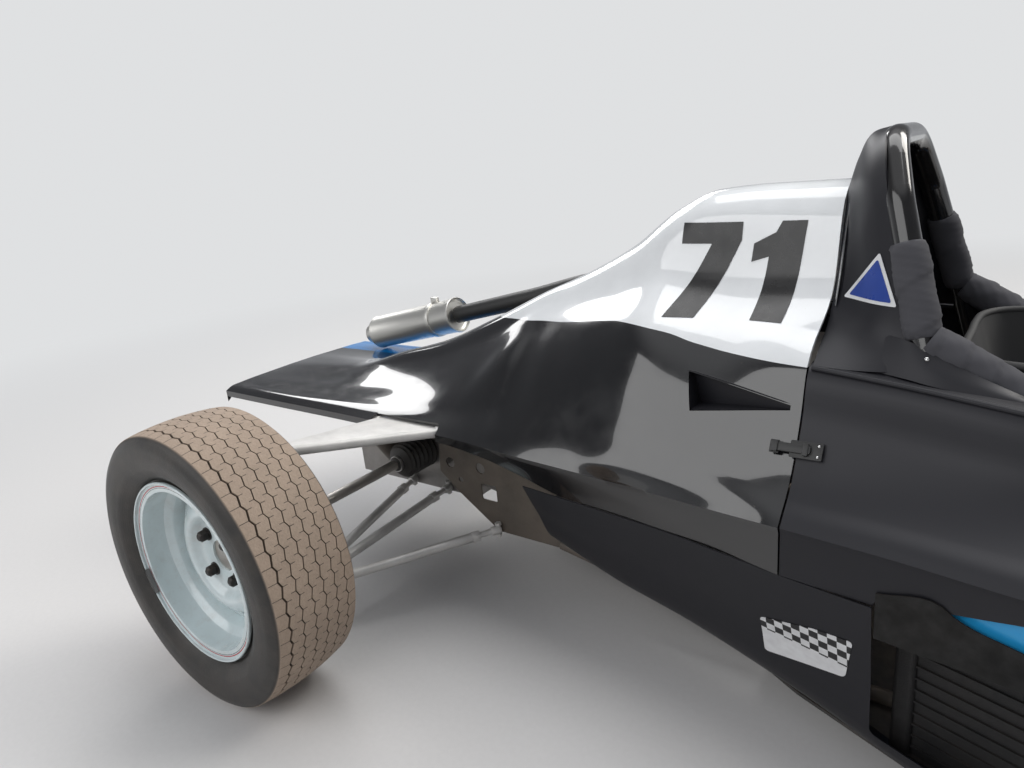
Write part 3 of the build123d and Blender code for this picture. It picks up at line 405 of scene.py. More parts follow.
def rim_finish(colours):
    """Pale enamel with two fine lines round the barrel, and rust that starts at the slots."""
    material, tree = start("wheel_rim", Coat_Weight=0.6, Coat_Roughness=0.08)
    place = object_place(tree)
    radius = attribute(tree, "radius")

    def line(at_radius, width):
        away = sum_up(tree, "ABSOLUTE", sum_up(tree, "SUBTRACT", radius, at_radius))
        return sum_up(tree, "LESS_THAN", away, width / 2)

    tone = blend_colour(tree, between(tree, noise(tree, place, 9.0, 6.0), 0.3, 0.7), (*colours.enamel,),
                        tuple(c * 0.86 for c in colours.enamel))
    tone = blend_colour(tree, line(0.1728, 0.0022), tone, (*colours.pinstripe,))
    tone = blend_colour(tree, line(0.1696, 0.0012), tone, (0.03, 0.03, 0.035))
    off_vents = sum_up(tree, "ABSOLUTE", sum_up(tree, "SUBTRACT", radius, VENTS[1] / 1000))
    vents = between(tree, off_vents, 0.004, 0.022, 1.0, 0.0)
    rust_patch = between(tree, noise(tree, place, 55.0, 8.0, 0.7), 0.55, 0.66)
    rust = sum_up(tree, "MULTIPLY", rust_patch, between(tree, vents, 0.0, 1.0, 0.10, 0.75))
    tone = blend_colour(tree, rust, tone, (0.20, 0.075, 0.03))
    grime = between(tree, noise(tree, place, 26.0, 8.0, 0.7), 0.50, 0.80, 0.0, 0.30)
    to_shader(tree, "Base Color", blend_colour(tree, grime, tone, (*colours.dust,)))
    to_shader(tree, "Roughness", between(tree, rust, 0.0, 0.5, 0.20, 0.7))
    bumped(tree, noise(tree, place, 90.0, 5.0), 0.00015)
    return material


def chequer_finish():
    """White sheet with a chequered upper half."""
    material, tree = start("chequer_patch", Roughness=0.35)
    place = object_place(tree)
    parts = put(tree, "ShaderNodeSeparateXYZ", {0: place})
    flat = put(tree, "ShaderNodeCombineXYZ", {0: parts.outputs["X"], 1: parts.outputs["Z"], 2: 0.0})
    squares = put(tree, "ShaderNodeTexChecker", {"Vector": flat.outputs[0], "Scale": 72.0}).outputs["Fac"]
    upper = sum_up(tree, "GREATER_THAN", parts.outputs["Z"], 0.205)
    tone = blend_colour(tree, between(tree, noise(tree, place, 60.0), 0.3, 0.7), (0.70, 0.71, 0.72),
                        (0.60, 0.60, 0.61))
    black = sum_up(tree, "MULTIPLY", squares, upper)
    to_shader(tree, "Base Color", blend_colour(tree, black, tone, (0.012, 0.012, 0.013)))
    return material


def make_details(colours, sizes):
    """Finishes that only the new pieces take."""
    dust = (*colours.dust,)
    tyre_finish(colours, sizes.zigzags)
    rim_finish(colours)
    plain_finish("nut_steel", (0.018, 0.016, 0.015), (0.16, 0.08, 0.04), 0.42, 0.15, Metallic=0.3)
    plain_finish("boot_rubber", (0.016, 0.015, 0.014), dust, 0.55, 0.25)
    plain_finish("foam_black", (0.006, 0.006, 0.006), dust, 0.85, 0.06)
    plain_finish("lead_grey", (0.22, 0.22, 0.22), dust, 0.5, 0.2, Metallic=0.5)
    plain_finish("number_black", (0.010, 0.010, 0.011), dust, 0.28, 0.02, 60.0, 0.00003)
    plain_finish("sign_blue", (*colours.sign_blue,), dust, 0.3, 0.03, 60.0, 0.00003)
    plain_finish("sign_white", (0.75, 0.76, 0.77), dust, 0.35, 0.06, 60.0, 0.00003)
    chequer_finish()


def dress(nodes, material):
    """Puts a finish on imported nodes."""
    for name in nodes:
        materials = frame["nodes"][name].data.materials
        materials.clear()
        materials.append(material)


class CAR_OT_finishes(bpy.types.Operator):
    """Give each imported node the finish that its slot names"""
    bl_idname = "car.finishes"
    bl_label = "Finishes"

    def execute(self, context):
        finishes = make_finishes(context.scene.car_paint)
        make_details(context.scene.car_paint, context.scene.car_wheels)
        for part in frame["record"]["subparts"]:
            dress([part["node"]], finishes[part["material_slot"]])
        dress(["engine_cover"], finishes["body_panel"])
        return {"FINISHED"}


# Mesh helpers


def only(piece):
    """Selects one piece and nothing else."""
    bpy.ops.object.select_all(action="DESELECT")
    piece.select_set(True)
    bpy.context.view_layer.objects.active = piece


def edit(piece, *steps):
    """Runs operators with the whole of a piece selected in edit mode."""
    only(piece)
    bpy.ops.object.mode_set(mode="EDIT")
    bpy.ops.mesh.select_all(action="SELECT")
    for step, settings in steps:
        step(**settings)
    bpy.ops.object.mode_set(mode="OBJECT")


def modify(piece, kind, **settings):
    """Adds a modifier to a piece and applies it."""
    only(piece)
    bpy.ops.object.modifier_add(type=kind)
    modifier = piece.modifiers[-1]
    for key, value in settings.items():
        setattr(modifier, key, value)
    bpy.ops.object.modifier_apply(modifier=modifier.name)


def cut(piece, *cutters, operation="DIFFERENCE"):
    """Cuts a piece with solids, which are then removed."""
    for cutter in cutters:
        modify(piece, "BOOLEAN", object=cutter, operation=operation, solver="EXACT")
        bpy.data.objects.remove(cutter)


def join(first, *others):
    """Joins pieces into the first."""
    only(first)
    for other in others:
        other.select_set(True)
    bpy.ops.object.join()
    return first


def finish(piece, name, body, finish_name, angle=35.0):
    """Names, dresses and smooths a piece and lets it ride on its body."""
    piece.name = piece.data.name = name
    only(piece)
    bpy.ops.object.transform_apply(location=True, rotation=True, scale=True)
    bpy.ops.object.shade_smooth_by_angle(angle=math.radians(angle))
    piece.data.materials.clear()
    piece.data.materials.append(bpy.data.materials[finish_name])
    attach(piece, body)
    return piece


MERGE = (bpy.ops.mesh.remove_doubles, {"threshold": 0.00001})
OUTWARDS = (bpy.ops.mesh.normals_make_consistent, {"inside": False})
ALL = (bpy.ops.mesh.select_all, {"action": "SELECT"})


def sealed(piece, closing=None):
    """Merges doubles, closes the open ends with an operator if one is given, turns faces outwards."""
    ends = ()
    if closing:
        ends = ((bpy.ops.mesh.select_all, {"action": "DESELECT"}), (bpy.ops.mesh.select_non_manifold, {}),
                (closing, {}), ALL)
    edit(piece, MERGE, *ends, OUTWARDS)
    return piece


def grid(across, along, place):
    """Grid primitive whose point i, j goes to place(i, j)."""
    bpy.ops.object.select_all(action="DESELECT")
    bpy.ops.mesh.primitive_grid_add(x_subdivisions=across, y_subdivisions=along, size=1.0)
    piece = bpy.context.active_object
    places = []
    for j in range(along + 1):
        for i in range(across + 1):
            places.extend(place(i, j))
    piece.data.vertices.foreach_set("co", places)
    piece.data.update()
    return piece


def prism(outline, low, high, way="Z"):
    """Solid over an outline, from low to high along one axis."""
    bpy.ops.object.select_all(action="DESELECT")
    bpy.ops.mesh.primitive_circle_add(vertices=len(outline), radius=1.0, fill_type="NGON")
    piece = bpy.context.active_object
    axis = "XYZ".index(way)
    for vertex, (a, b) in zip(piece.data.vertices, outline):
        point = [a, b]
        point.insert(axis, low)
        vertex.co = point
    rise = [0.0, 0.0, 0.0]
    rise[axis] = high - low
    upwards = (bpy.ops.mesh.extrude_region_move, {"TRANSFORM_OT_translate": {"value": rise}})
    edit(piece, upwards, ALL, OUTWARDS)
    return piece


def rounded(points, radius, steps=6):
    """Outline with its corners rounded."""
    outline = []
    for index, corner in enumerate(points):
        corner = Vector(corner)
        before = Vector(points[index - 1]) - corner
        after = Vector(points[(index + 1) % len(points)]) - corner
        reach = min(radius, before.length * 0.45, after.length * 0.45)
        start, end = corner + before.normalized() * reach, corner + after.normalized() * reach
        for step in range(steps + 1):
            share = step / steps
            first, second = start.lerp(corner, share), corner.lerp(end, share)
            outline.append(tuple(first.lerp(second, share)))
    return outline


def rod(start, end, radius, sides=40):
    """Round bar between two points."""
    start, end = Vector(start), Vector(end)
    bpy.ops.object.select_all(action="DESELECT")
    bpy.ops.mesh.primitive_cylinder_add(
        vertices=sides, radius=radius, depth=(end - start).length, location=(start + end) / 2,
        rotation=(end - start).to_track_quat("Z", "Y").to_euler())
    return bpy.context.active_object


def turned(profile, middle, steps=96, attributes=None):
    """Ring about a cross axle from a closed profile of (outboard along y, radius)."""
    count = len(profile)

    def place(i, j):
        side, radius = profile[i % count]
        angle = 2 * math.pi * j / steps
        return (middle[0] + radius * math.cos(angle), middle[1] + side, middle[2] + radius * math.sin(angle))

    piece = grid(count, steps, place)
    if attributes:
        spread(piece, attributes, count, steps)
    return sealed(piece)


def spread(piece, attributes, count, steps):
    """Point attributes given along the profile, repeated round the ring."""
    for name, values in attributes.items():
        layer = piece.data.attributes.new(name, "FLOAT", "POINT")
        row = [values[i % count] for i in range(count + 1)]
        layer.data.foreach_set("value", row * (steps + 1))


# Body panels


def eased(xs, values, x):
    """Smooth curve through values at xs that doesn't overshoot."""
    last = len(xs) - 2
    index = max(0, min(last, sum(1 for value in xs[1:] if value <= x)))
    rises = [(values[k + 1] - values[k]) / (xs[k + 1] - xs[k]) for k in range(last + 1)]

    def slope(k):
        if k == 0 or k > last:
            return rises[min(k, last)]
        before, after = rises[k - 1], rises[k]
        if before * after <= 0:
            return 0.0
        behind, ahead = xs[k] - xs[k - 1], xs[k + 1] - xs[k]
        wide, narrow = 2 * ahead + behind, ahead + 2 * behind
        return (wide + narrow) / (wide / before + narrow / after)

    reach = xs[index + 1] - xs[index]
    share = min(1.0, max(0.0, (x - xs[index]) / reach))
    first, second = slope(index) * reach, slope(index + 1) * reach
    a, b = values[index], values[index + 1]
    return (a * (1 + 2 * share) * (1 - share) ** 2 + first * share * (1 - share) ** 2
            + b * share ** 2 * (3 - 2 * share) - second * share ** 2 * (1 - share))


def smooth_outline(points, straight, pieces):
    """Curve through a half outline, level at the top, with its last stretches left straight."""
    curved = points[:len(points) - straight]
    marks = [0.0]
    for a, b in zip(curved, curved[1:]):
        marks.append(marks[-1] + math.dist(a, b))

    def slope(k, axis):
        if k == 0:
            return (1.0, 0.0)[axis]
        if k == len(curved) - 1:
            return (curved[k][axis] - curved[k - 1][axis]) / (marks[k] - marks[k - 1])
        before, after = marks[k] - marks[k - 1], marks[k + 1] - marks[k]
        rise = (curved[k][axis] - curved[k - 1][axis]) / before * after
        return (rise + (curved[k + 1][axis] - curved[k][axis]) / after * before) / (before + after)

    line = []
    for k in range(len(curved) - 1):
        reach = marks[k + 1] - marks[k]
        for step in range(pieces):
            share = step / pieces
            line.append(tuple(
                curved[k][axis] * (1 + 2 * share) * (1 - share) ** 2
                + slope(k, axis) * reach * share * (1 - share) ** 2
                + curved[k + 1][axis] * share ** 2 * (3 - 2 * share)
                - slope(k + 1, axis) * reach * share ** 2 * (1 - share) for axis in (0, 1)))
    return line + list(points[len(curved) - 1:])


def panel(table, sizes, straight=1, pieces=6, tail_lip=0.0, closed=0.0, wall=None):
    """Shell through a table of (station, half outline), both in millimetres."""
    stations = [row[0] for row in table]
    rows = max(2, round((stations[-1] - stations[0]) / 1000 / sizes.pitch))
    lines = []
    for j in range(rows + 1):
        station = stations[0] + (stations[-1] - stations[0]) * j / rows
        points = [tuple(eased(stations, [row[1][k][axis] for row in table], station) for axis in (0, 1))
                  for k in range(len(table[0][1]))]
        half = smooth_outline(points, straight, pieces)
        lines.append([(at(station), y / 1000, z / 1000) for y, z in half])
    if tail_lip:
        lines.insert(0, [(x, y, min(z, z - tail_lip)) for x, y, z in lines[0]])
    if closed:
        for share in (0.93, 0.75, 0.4):
            middle = sum(z for x, y, z in lines[rows]) / len(lines[rows])
            lines.append([(x + closed * math.sqrt(1 - share ** 2), y * share, middle + (z - middle) * share)
                          for x, y, z in lines[rows]])
        lines.append([(lines[-1][0][0] + 0.001, 0.0, middle)] * len(lines[0]))
    wide = len(lines[0]) - 1

    def place(i, j):
        x, y, z = lines[j][abs(i - wide)]
        return (x, y if i < wide else -y, z)

    piece = grid(2 * wide, len(lines) - 1, place)
    edit(piece, MERGE)
    wall = sizes.skin if wall is None else wall
    modify(piece, "SOLIDIFY", thickness=wall, offset=-1.0, use_even_offset=wall > 0)
    return piece


# Rods and arms, in millimetres for the left side: start, end, radius
RODS = {
    "rear_upper_arm": (((0, 564.5, 439.3), (4, 202, 394), 11), ((0, 564.5, 439.3), (214, 202, 394), 11)),
    "rear_lower_arm": (((0, 564.5, 120.7), (-95, 84, 165), 11), ((0, 564.5, 120.7), (30, 84, 165), 11),
                       ((0, 564.5, 120.7), (270, 184, 150), 11)),
    "front_arm": (((2450, 584, 405), (2310, 165, 362), 9), ((2450, 584, 405), (2560, 165, 362), 9),
                  ((2450, 584, 131), (2310, 165, 63), 9), ((2450, 584, 131), (2560, 165, 63), 9)),
    "front_pushrod": (((2450, 524, 161), (2450, 169, 366), 7),),
}
FRONT_HOLES = tuple((start, end, radius + 8) for key in ("front_arm", "front_pushrod")
                    for start, end, radius in RODS[key]) + (((2550, 584, 249.5), (2550, 100, 249.5), 19),)
# Shares of the way along the upper arm at which its fairing starts and ends
WEB_START, WEB_SHARE = 0.04, 0.93
# Lengths of a rod end: from its tip to the end of the tube, to the eye, and its pinch nut
TUBE_END, EYE_END, NUT = 0.062, 0.020, (0.052, 0.070)


def mm(point, side=1):
    """Point in metres of a station, a width and a height in millimetres."""
    return Vector((at(point[0]), side * point[1] / 1000, point[2] / 1000))


def jointed_rod(start, end, radius):
    """Rod with a rod end, a lock nut and a short bare thread at its inner end."""
    way = (end - start).normalized()
    pieces = [rod(start, end - way * TUBE_END, radius),
              rod(end - way * (TUBE_END + 0.002), end - way * EYE_END, radius * 0.62, 24)]
    collar = rod(end - way * NUT[1], end - way * NUT[0], radius * 1.28, 6)
    modify(collar, "BEVEL", width=0.0008, segments=2, limit_method="ANGLE")
    eye = rod(end - way * (EYE_END + 0.004), end, radius * 0.95, 32)
    modify(eye, "BEVEL", width=radius * 0.3, segments=3, limit_method="ANGLE")
    up = Vector((0, 0, 1))
    spot = end - way * 0.006
    # Bolt, its head and its nut, each from one height to the other
    bolt = [rod(spot + up * low, spot + up * high, wide, sides)
            for low, high, wide, sides in ((-0.019, 0.016, 0.004, 20), (0.011, 0.017, 0.0075, 6),
                                           (-0.016, -0.010, 0.0075, 6))]
    return pieces + [collar, eye] + bolt


def ball_joint(place, radius, half_height):
    """Round housing of a ball joint with softened edges."""
    bpy.ops.object.select_all(action="DESELECT")
    bpy.ops.mesh.primitive_cylinder_add(vertices=40, radius=radius, depth=2 * half_height, location=place)
    piece = bpy.context.active_object
    modify(piece, "BEVEL", width=0.0022, segments=3, limit_method="ANGLE")
    return piece


# Half outlines in millimetres: ridge, crown, upper side, paint line, flank, valley, lip, crease,
# foot of the lip, skirt
COVER = (
    (-600, ((0, 430), (40, 430), (90, 429), (140, 428), (185, 427), (225, 425), (258, 422), (276, 414),
            (276, 404), (276, 398))),
    (-350, ((0, 441), (26, 440), (70, 434), (120, 429), (175, 427), (222, 424), (258, 421), (276, 412),
            (276, 402), (276, 396))),
    (-150, ((0, 492), (16, 489), (45, 470), (90, 449), (140, 434), (200, 427), (256, 421), (276, 411),
            (276, 401), (276, 395))),
    (0, ((0, 531), (16, 528), (55, 498), (100, 470), (150, 447), (205, 431), (256, 420), (276, 409),
         (276, 400), (276, 393))),
    (190, ((0, 607), (16, 604), (60, 565), (110, 525), (165, 483), (215, 449), (258, 421), (278, 404),
           (278, 396), (278, 388))),
    (330, ((0, 669), (18, 663), (42, 638), (68, 616), (145, 556), (222, 466), (268, 424), (289, 403),
           (288, 394), (288, 378))),
    (430, ((0, 708), (22, 701), (62, 660), (104, 626), (185, 552), (245, 468), (282, 426), (300, 402),
           (297, 392), (298, 362))),
    (550, ((0, 767), (26, 758), (78, 690), (150, 642), (215, 566), (264, 474), (298, 427), (311, 402),
           (307, 391), (308, 340))),
    (650, ((0, 836), (32, 824), (92, 718), (187, 648), (243, 570), (285, 477), (315, 428), (322, 402),
           (318, 391), (319, 340))),
    (730, ((0, 867), (35, 855), (98, 712), (200, 637), (256, 566), (298, 476), (326, 430), (334, 404),
           (330, 393), (331, 340))),
    (820, ((0, 872), (36, 860), (106, 706), (214, 624), (264, 560), (314, 466), (340, 430), (350, 407),
           (345, 396), (346, 340))),
    (950.5, ((0, 872), (36, 860), (118, 702), (250, 620), (281, 545), (345, 449), (368, 431), (383, 418),
             (379, 407), (380, 340))),
)
# Middle, inner, rim, rim edge, flank, valley, lip, crease, foot of the lip, skirt
SURROUND = (
    (953.5, ((0, 620), (100, 620), (180, 620), (250, 619), (281, 545), (345, 449), (368, 431), (383, 418),
             (379, 407), (380, 340))),
    (1100, ((0, 609), (110, 609), (200, 609), (268, 606), (297, 530), (363, 449), (388, 432), (402, 418),
            (398, 407), (399, 340))),
    (1250, ((0, 592), (120, 592), (210, 592), (284, 588), (313, 515), (384, 449), (412, 433), (428, 418),
            (424, 407), (425, 340))),
    (1600, ((0, 566), (120, 566), (215, 565), (282, 560), (312, 495), (402, 445), (446, 429), (464, 414),
            (460, 404), (461, 340))),
    (1740, ((0, 592), (100, 590), (190, 578), (256, 556), (294, 494), (390, 444), (444, 427), (462, 411),
            (458, 401), (459, 340))),
    (1880, ((0, 600), (80, 597), (150, 585), (205, 562), (244, 500), (372, 442), (436, 424), (456, 408),
            (452, 398), (453, 340))),
)
# Middle, crown, shoulder, upper edge, side, lower side, foot
SCUTTLE_END = ((0, 434), (70, 432), (130, 418), (176, 386), (200, 330), (206, 200), (204, 50))
SCUTTLE = (
    (1882, ((0, 600), (80, 597), (150, 585), (205, 562), (244, 500), (266, 300), (266, 50))),
    (2200, ((0, 522), (72, 519), (138, 504), (188, 470), (222, 414), (238, 250), (238, 50))),
    (2619, SCUTTLE_END),
)
NOSE = (
    (2622, SCUTTLE_END),
    (2900, ((0, 344), (66, 342), (120, 330), (160, 304), (186, 262), (196, 170), (196, 76))),
    (3140, ((0, 247), (60, 245), (104, 236), (138, 218), (160, 190), (170, 140), (168, 92))),
    (3238, ((0, 176), (44, 174), (74, 168), (94, 158), (106, 145), (112, 128), (110, 106))),
)
# Stations of the slot for the upper arm, cockpit opening as (station, y)
ARM_SLOT = (-14, 192)
MOUTH = ((908, -225), (1230, -252), (1600, -250), (1760, -170), (1760, 170), (1600, 250), (1230, 252),
         (908, 225))
# Air intake in millimetres: rear edge, tip and how far in its floor lies at the rear edge
INTAKE = ((775, 536), (760, 592), (934, 564), (934, 557))
THROAT = 226
TIP_DEPTH = 268
# Opening for the exhaust in the left flank: rear and front station, lower and upper height
EXHAUST_HOLE = (420, 690, 570, 730)


def box_solid(low, high):
    """Box from one corner to the other, in metres."""
    (x0, y0, z0), (x1, y1, z1) = low, high
    return prism(((x0, y0), (x1, y0), (x1, y1), (x0, y1)), z0, z1)


def skin_y(table, x, z):
    """Half width of a panel's outline at a place x and a height z, in metres."""
    stations = [row[0] for row in table]
    station = (x - REAR_AXLE_X) * 1000
    points = [tuple(eased(stations, [row[1][k][axis] for row in table], station) for axis in (0, 1))
              for k in range(len(table[0][1]))]
    line = smooth_outline(points, 2, 6)
    for (y0, z0), (y1, z1) in zip(line, line[1:]):
        if z1 <= z * 1000 <= z0:
            return (y0 + (y1 - y0) * (z0 - z * 1000) / (z0 - z1)) / 1000
    return line[-1][0] / 1000


def intake_solid(side, reach=None):
    """Wedge with a three cornered mouth whose floor runs inwards to its rear edge."""
    corners = [Vector((at(x), z / 1000)) for x, z in INTAKE]
    outline = []
    for first, second in zip(corners, corners[1:] + corners[:1]):
        count = max(1, round((second - first).length / 0.012))
        outline += [tuple(first.lerp(second, k / count)) for k in range(count)]
    piece = prism(outline, 0.2, 0.36, "Y")
    rear, tip = corners[0].x, corners[2].x
    for vertex in piece.data.vertices:
        share = (vertex.co.x - rear) / (tip - rear)
        outer = reach or skin_y(COVER, vertex.co.x, vertex.co.z) - 0.0005
        deep = min((THROAT + (TIP_DEPTH - THROAT) * share) / 1000, outer - 0.002)
        vertex.co.y = side * (deep if vertex.co.y < 0.3 else outer)
    edit(piece, OUTWARDS)
    return piece


def intake_scoop(side, wall):
    """Floor, top and bottom of one air intake, up to the cover's skin."""
    piece = intake_solid(side)
    only(piece)
    bpy.ops.object.mode_set(mode="EDIT")
    mesh = bmesh.from_edit_mesh(piece.data)
    for face in mesh.faces:
        outward = abs(face.normal.y) > 0.6 and face.normal.y * side > 0
        face.select_set(outward or abs(face.calc_center_median().x - at(INTAKE[0][0])) < 0.001)
    bmesh.update_edit_mesh(piece.data)
    bpy.ops.mesh.delete(type="FACE")
    bpy.ops.object.mode_set(mode="OBJECT")
    modify(piece, "SOLIDIFY", thickness=wall, offset=1.0)
    return piece


class CAR_OT_engine_cover(bpy.types.Operator):
    """Cover with its tail deck, air intakes, arm slots and the opening for the exhaust"""
    bl_idname = "car.engine_cover"
    bl_label = "Engine cover"

    def execute(self, context):
        sizes = context.scene.car_body
        cover = panel(COVER, sizes, straight=2, tail_lip=sizes.lip)
        cutters = []
        for side in (-1, 1):
            cutters.append(intake_solid(side, 0.36))
            rear, front = (at(station) for station in ARM_SLOT)
            slot = [(rear, side * 0.256), (front, side * 0.256), (front, side * 0.3), (rear, side * 0.3)]
            cutters.append(prism(rounded(slot, 0.012), 0.37, 0.43))
        rear, front, low, high = EXHAUST_HOLE
        hole = [(at(x), z / 1000) for x, z in ((rear, low), (front, low), (front, high), (rear, high))]
        cutters.append(prism(rounded(hole, 0.03), 0.11, 0.31, "Y"))
        cut(cover, *cutters)
        finish(cover, "cover_shell", ROOT, "body_panel")
        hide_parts("engine_cover")
        for name, side in SIDES:
            finish(intake_scoop(side, 0.003), f"{name}_intake_scoop", ROOT, "body_black")
        return {"FINISHED"}


class CAR_OT_front_panels(bpy.types.Operator):
    """Cockpit surround with its mouth, the scuttle and the nose cone"""
    bl_idname = "car.front_panels"
    bl_label = "Front panels"

    def execute(self, context):
        sizes = context.scene.car_body
        surround = panel(SURROUND, sizes, straight=2)
        mouth = prism(rounded([(at(x), y / 1000) for x, y in MOUTH], 0.045, 8), 0.47, 0.72)
        cut(surround, mouth, pod_mouth(1), pod_mouth(-1))
        finish(surround, "surround_shell", ROOT, "body_black")
        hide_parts("cockpit_surround")
        scuttle = panel(SCUTTLE, sizes)
        cutters = []
        for side in (-1, 1):
            for start, end, radius in FRONT_HOLES:
                cutters.append(rod(mm(start, side), mm(end, side), radius / 1000, 24))
        cut(scuttle, *cutters)
        finish(scuttle, "scuttle_shell", ROOT, "body_black")
        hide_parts("scuttle")
        nose = panel(NOSE, sizes, closed=0.011)
        finish(nose, "nose_shell", ROOT, "body_black")
        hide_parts("nose_cone")
        return {"FINISHED"}


# Wheels


def arc_through(first, middle, last, count):
    """Points of the arc through three points, both ends among them."""
    (ax, ay), (bx, by), (cx, cy) = first, middle, last
    d = 2 * (ax * (by - cy) + bx * (cy - ay) + cx * (ay - by))
    aa, bb, cc = ax * ax + ay * ay, bx * bx + by * by, cx * cx + cy * cy
    ox = (aa * (by - cy) + bb * (cy - ay) + cc * (ay - by)) / d
    oy = (aa * (cx - bx) + bb * (ax - cx) + cc * (bx - ax)) / d
    radius = math.hypot(ax - ox, ay - oy)
    angles = [math.atan2(y - oy, x - ox) for x, y in (first, middle, last)]
    for k in (1, 2):
        while angles[k] - angles[k - 1] > math.pi:
            angles[k] -= 2 * math.pi
        while angles[k] - angles[k - 1] < -math.pi:
            angles[k] += 2 * math.pi
    turns = [angles[0] + (angles[2] - angles[0]) * k / count for k in range(count + 1)]
    return [(ox + radius * math.cos(turn), oy + radius * math.sin(turn)) for turn in turns]


# Tyre in metres: half width and radius at the bead, radii at the flange and at the widest place
BEAD_HALF, BEAD_RADIUS, FLANGE_RADIUS, BULGE_RADIUS = 0.0697, 0.1653, 0.1845, 0.226
SHOULDER_INSET, SHOULDER_DROP = 0.009, 0.007
WALL_STEPS = 14
# Radius below which nothing swings with the grooves, as a share of the tyre's
SWING_FROM = 0.9


def tyre_profile(radius, width, sizes):
    """Closed outline of a tyre with what follows it: reach up the wall, tread, groove edge, depth."""
    half = width / 2
    shoulder = half - SHOULDER_INSET
    wall = arc_through((BEAD_HALF, FLANGE_RADIUS), (half, BULGE_RADIUS), (shoulder, radius - SHOULDER_DROP),
                       WALL_STEPS)
    rows = []
    for k, (a, r) in enumerate(wall[:-1]):
        # Raised line round the wall and a step below the shoulder
        lift = 0.0012 if k in (5, 11) else 0.0
        rows.append((a + lift, r, k / WALL_STEPS, 0.0, 0.3, 0.0))

    def crown(a):
        return radius - SHOULDER_DROP * (abs(a) / shoulder) ** 2

    edge = shoulder - 0.0015
    rows.append((edge + 0.0008, crown(edge) - 0.0016, 0.97, 0.5, 0.3, 0.0))
    rows.append((edge - 0.0008, crown(edge), 1.0, 1.0, 0.3, 0.0))
    gap = (shoulder - 0.010) / 3
    grooves = [(k * gap, 0.0012 if k < 2 else 0.0019) for k in (2.5, 1.5, 0.5, -0.5, -1.5, -2.5)]
    tread = []
    for index, (a, half_groove) in enumerate(grooves):
        for offset, depth, at_edge in ((half_groove, 0, 1), (half_groove - 0.0003, 1, 0),
                                       (0.0003 - half_groove, 1, 0), (-half_groove, 0, -1)):
            lateral = a + offset
            tread.append((lateral, crown(lateral) - depth * sizes.groove_depth, 1.0, 1.0, at_edge, depth))
        if index + 1 < len(grooves):
            lateral = a - gap / 2
            tread.append((lateral, crown(lateral), 1.0, 1.0, 0.0, 0.0))
    mirrored = [(-a, r, reach, tread_share, -side, depth) for a, r, reach, tread_share, side, depth in reversed(rows)]
    bead = [(way * BEAD_HALF, BEAD_RADIUS, 0, 0, 0, 0) for way in (-1, 1)]
    return rows + tread + mirrored + bead


def shape_tyre(middle, radius, width, sizes):
    """Tyre round a wheel's middle, its grooves swung to and fro all round."""
    profile = tyre_profile(radius, width, sizes)
    count, steps = len(profile), sizes.steps * sizes.zigzags

    def place(i, j):
        side, r = profile[i % count][:2]
        phase = (j % sizes.steps) / sizes.steps
        rise = phase / CORNER if phase < CORNER else (1 - phase) / (1 - CORNER)
        swing = (1 - 2 * rise) * sizes.zigzag
        inner = min(1.0, max(0.0, (width / 2 - SHOULDER_INSET - 0.004 - abs(side)) / 0.006))
        if r <= radius * SWING_FROM:
            inner = 0.0
        angle = 2 * math.pi * j / steps
        return (middle[0] + r * math.cos(angle), middle[1] + side + swing * inner,
                middle[2] + r * math.sin(angle))

    piece = grid(count, steps, place)
    spread(piece, {name: [row[k] for row in profile] for name, k in
                   (("reach", 2), ("tread", 3), ("edge", 4), ("depth", 5))}, count, steps)
    return sealed(piece)


# Rim in millimetres as points of (outboard along the axle, radius): the barrel's outline, the disc's middle
BARREL_OUTER = ((-79.2, 178.4), (-79.6, 180.6), (-78.2, 182.2), (-75.6, 182.5), (-73, 181.6), (-71, 179),
                (-70, 174), (-70, 165), (-60, 164.6), (-47, 164), (-42, 162.5), (-34, 150), (-31, 148),
                (17, 148), (20, 150), (29, 162.5), (34, 164), (60, 164.6), (70, 165), (70, 174), (71, 179),
                (73, 181.6), (75.6, 182.5), (78.2, 182.2), (79.6, 180.6), (79.2, 178.4))
BARREL_INNER = ((76.6, 178.0), (75.4, 179.2), (74.2, 178.4), (73.4, 175), (73.2, 162), (70, 161.6),
                (60, 161.3), (35, 160.6), (31, 159), (21.5, 146.6), (18, 144.8), (-32, 144.8), (-35.5, 146.6),
                (-44, 159), (-48, 160.6), (-60, 161.3), (-70, 161.6), (-73.2, 162), (-73.4, 175),
                (-74.2, 178.4), (-75.4, 179.2), (-76.6, 178.0))
DISC = ((4, 32), (4, 40), (4, 66), (5, 71), (9, 76), (16, 82), (20.5, 87), (22, 93), (21.5, 99), (19, 105),
        (13, 114), (5, 127), (0, 135), (-5, 142), (-8, 146))
DISC_HALF = 2
RING_STEPS = 128
# Slots in the disc: how many, radius of their circle, length and width
VENTS = (8, 122, 26, 13)
SLOT_STEPS = 20
STUD_CIRCLE = 0.054


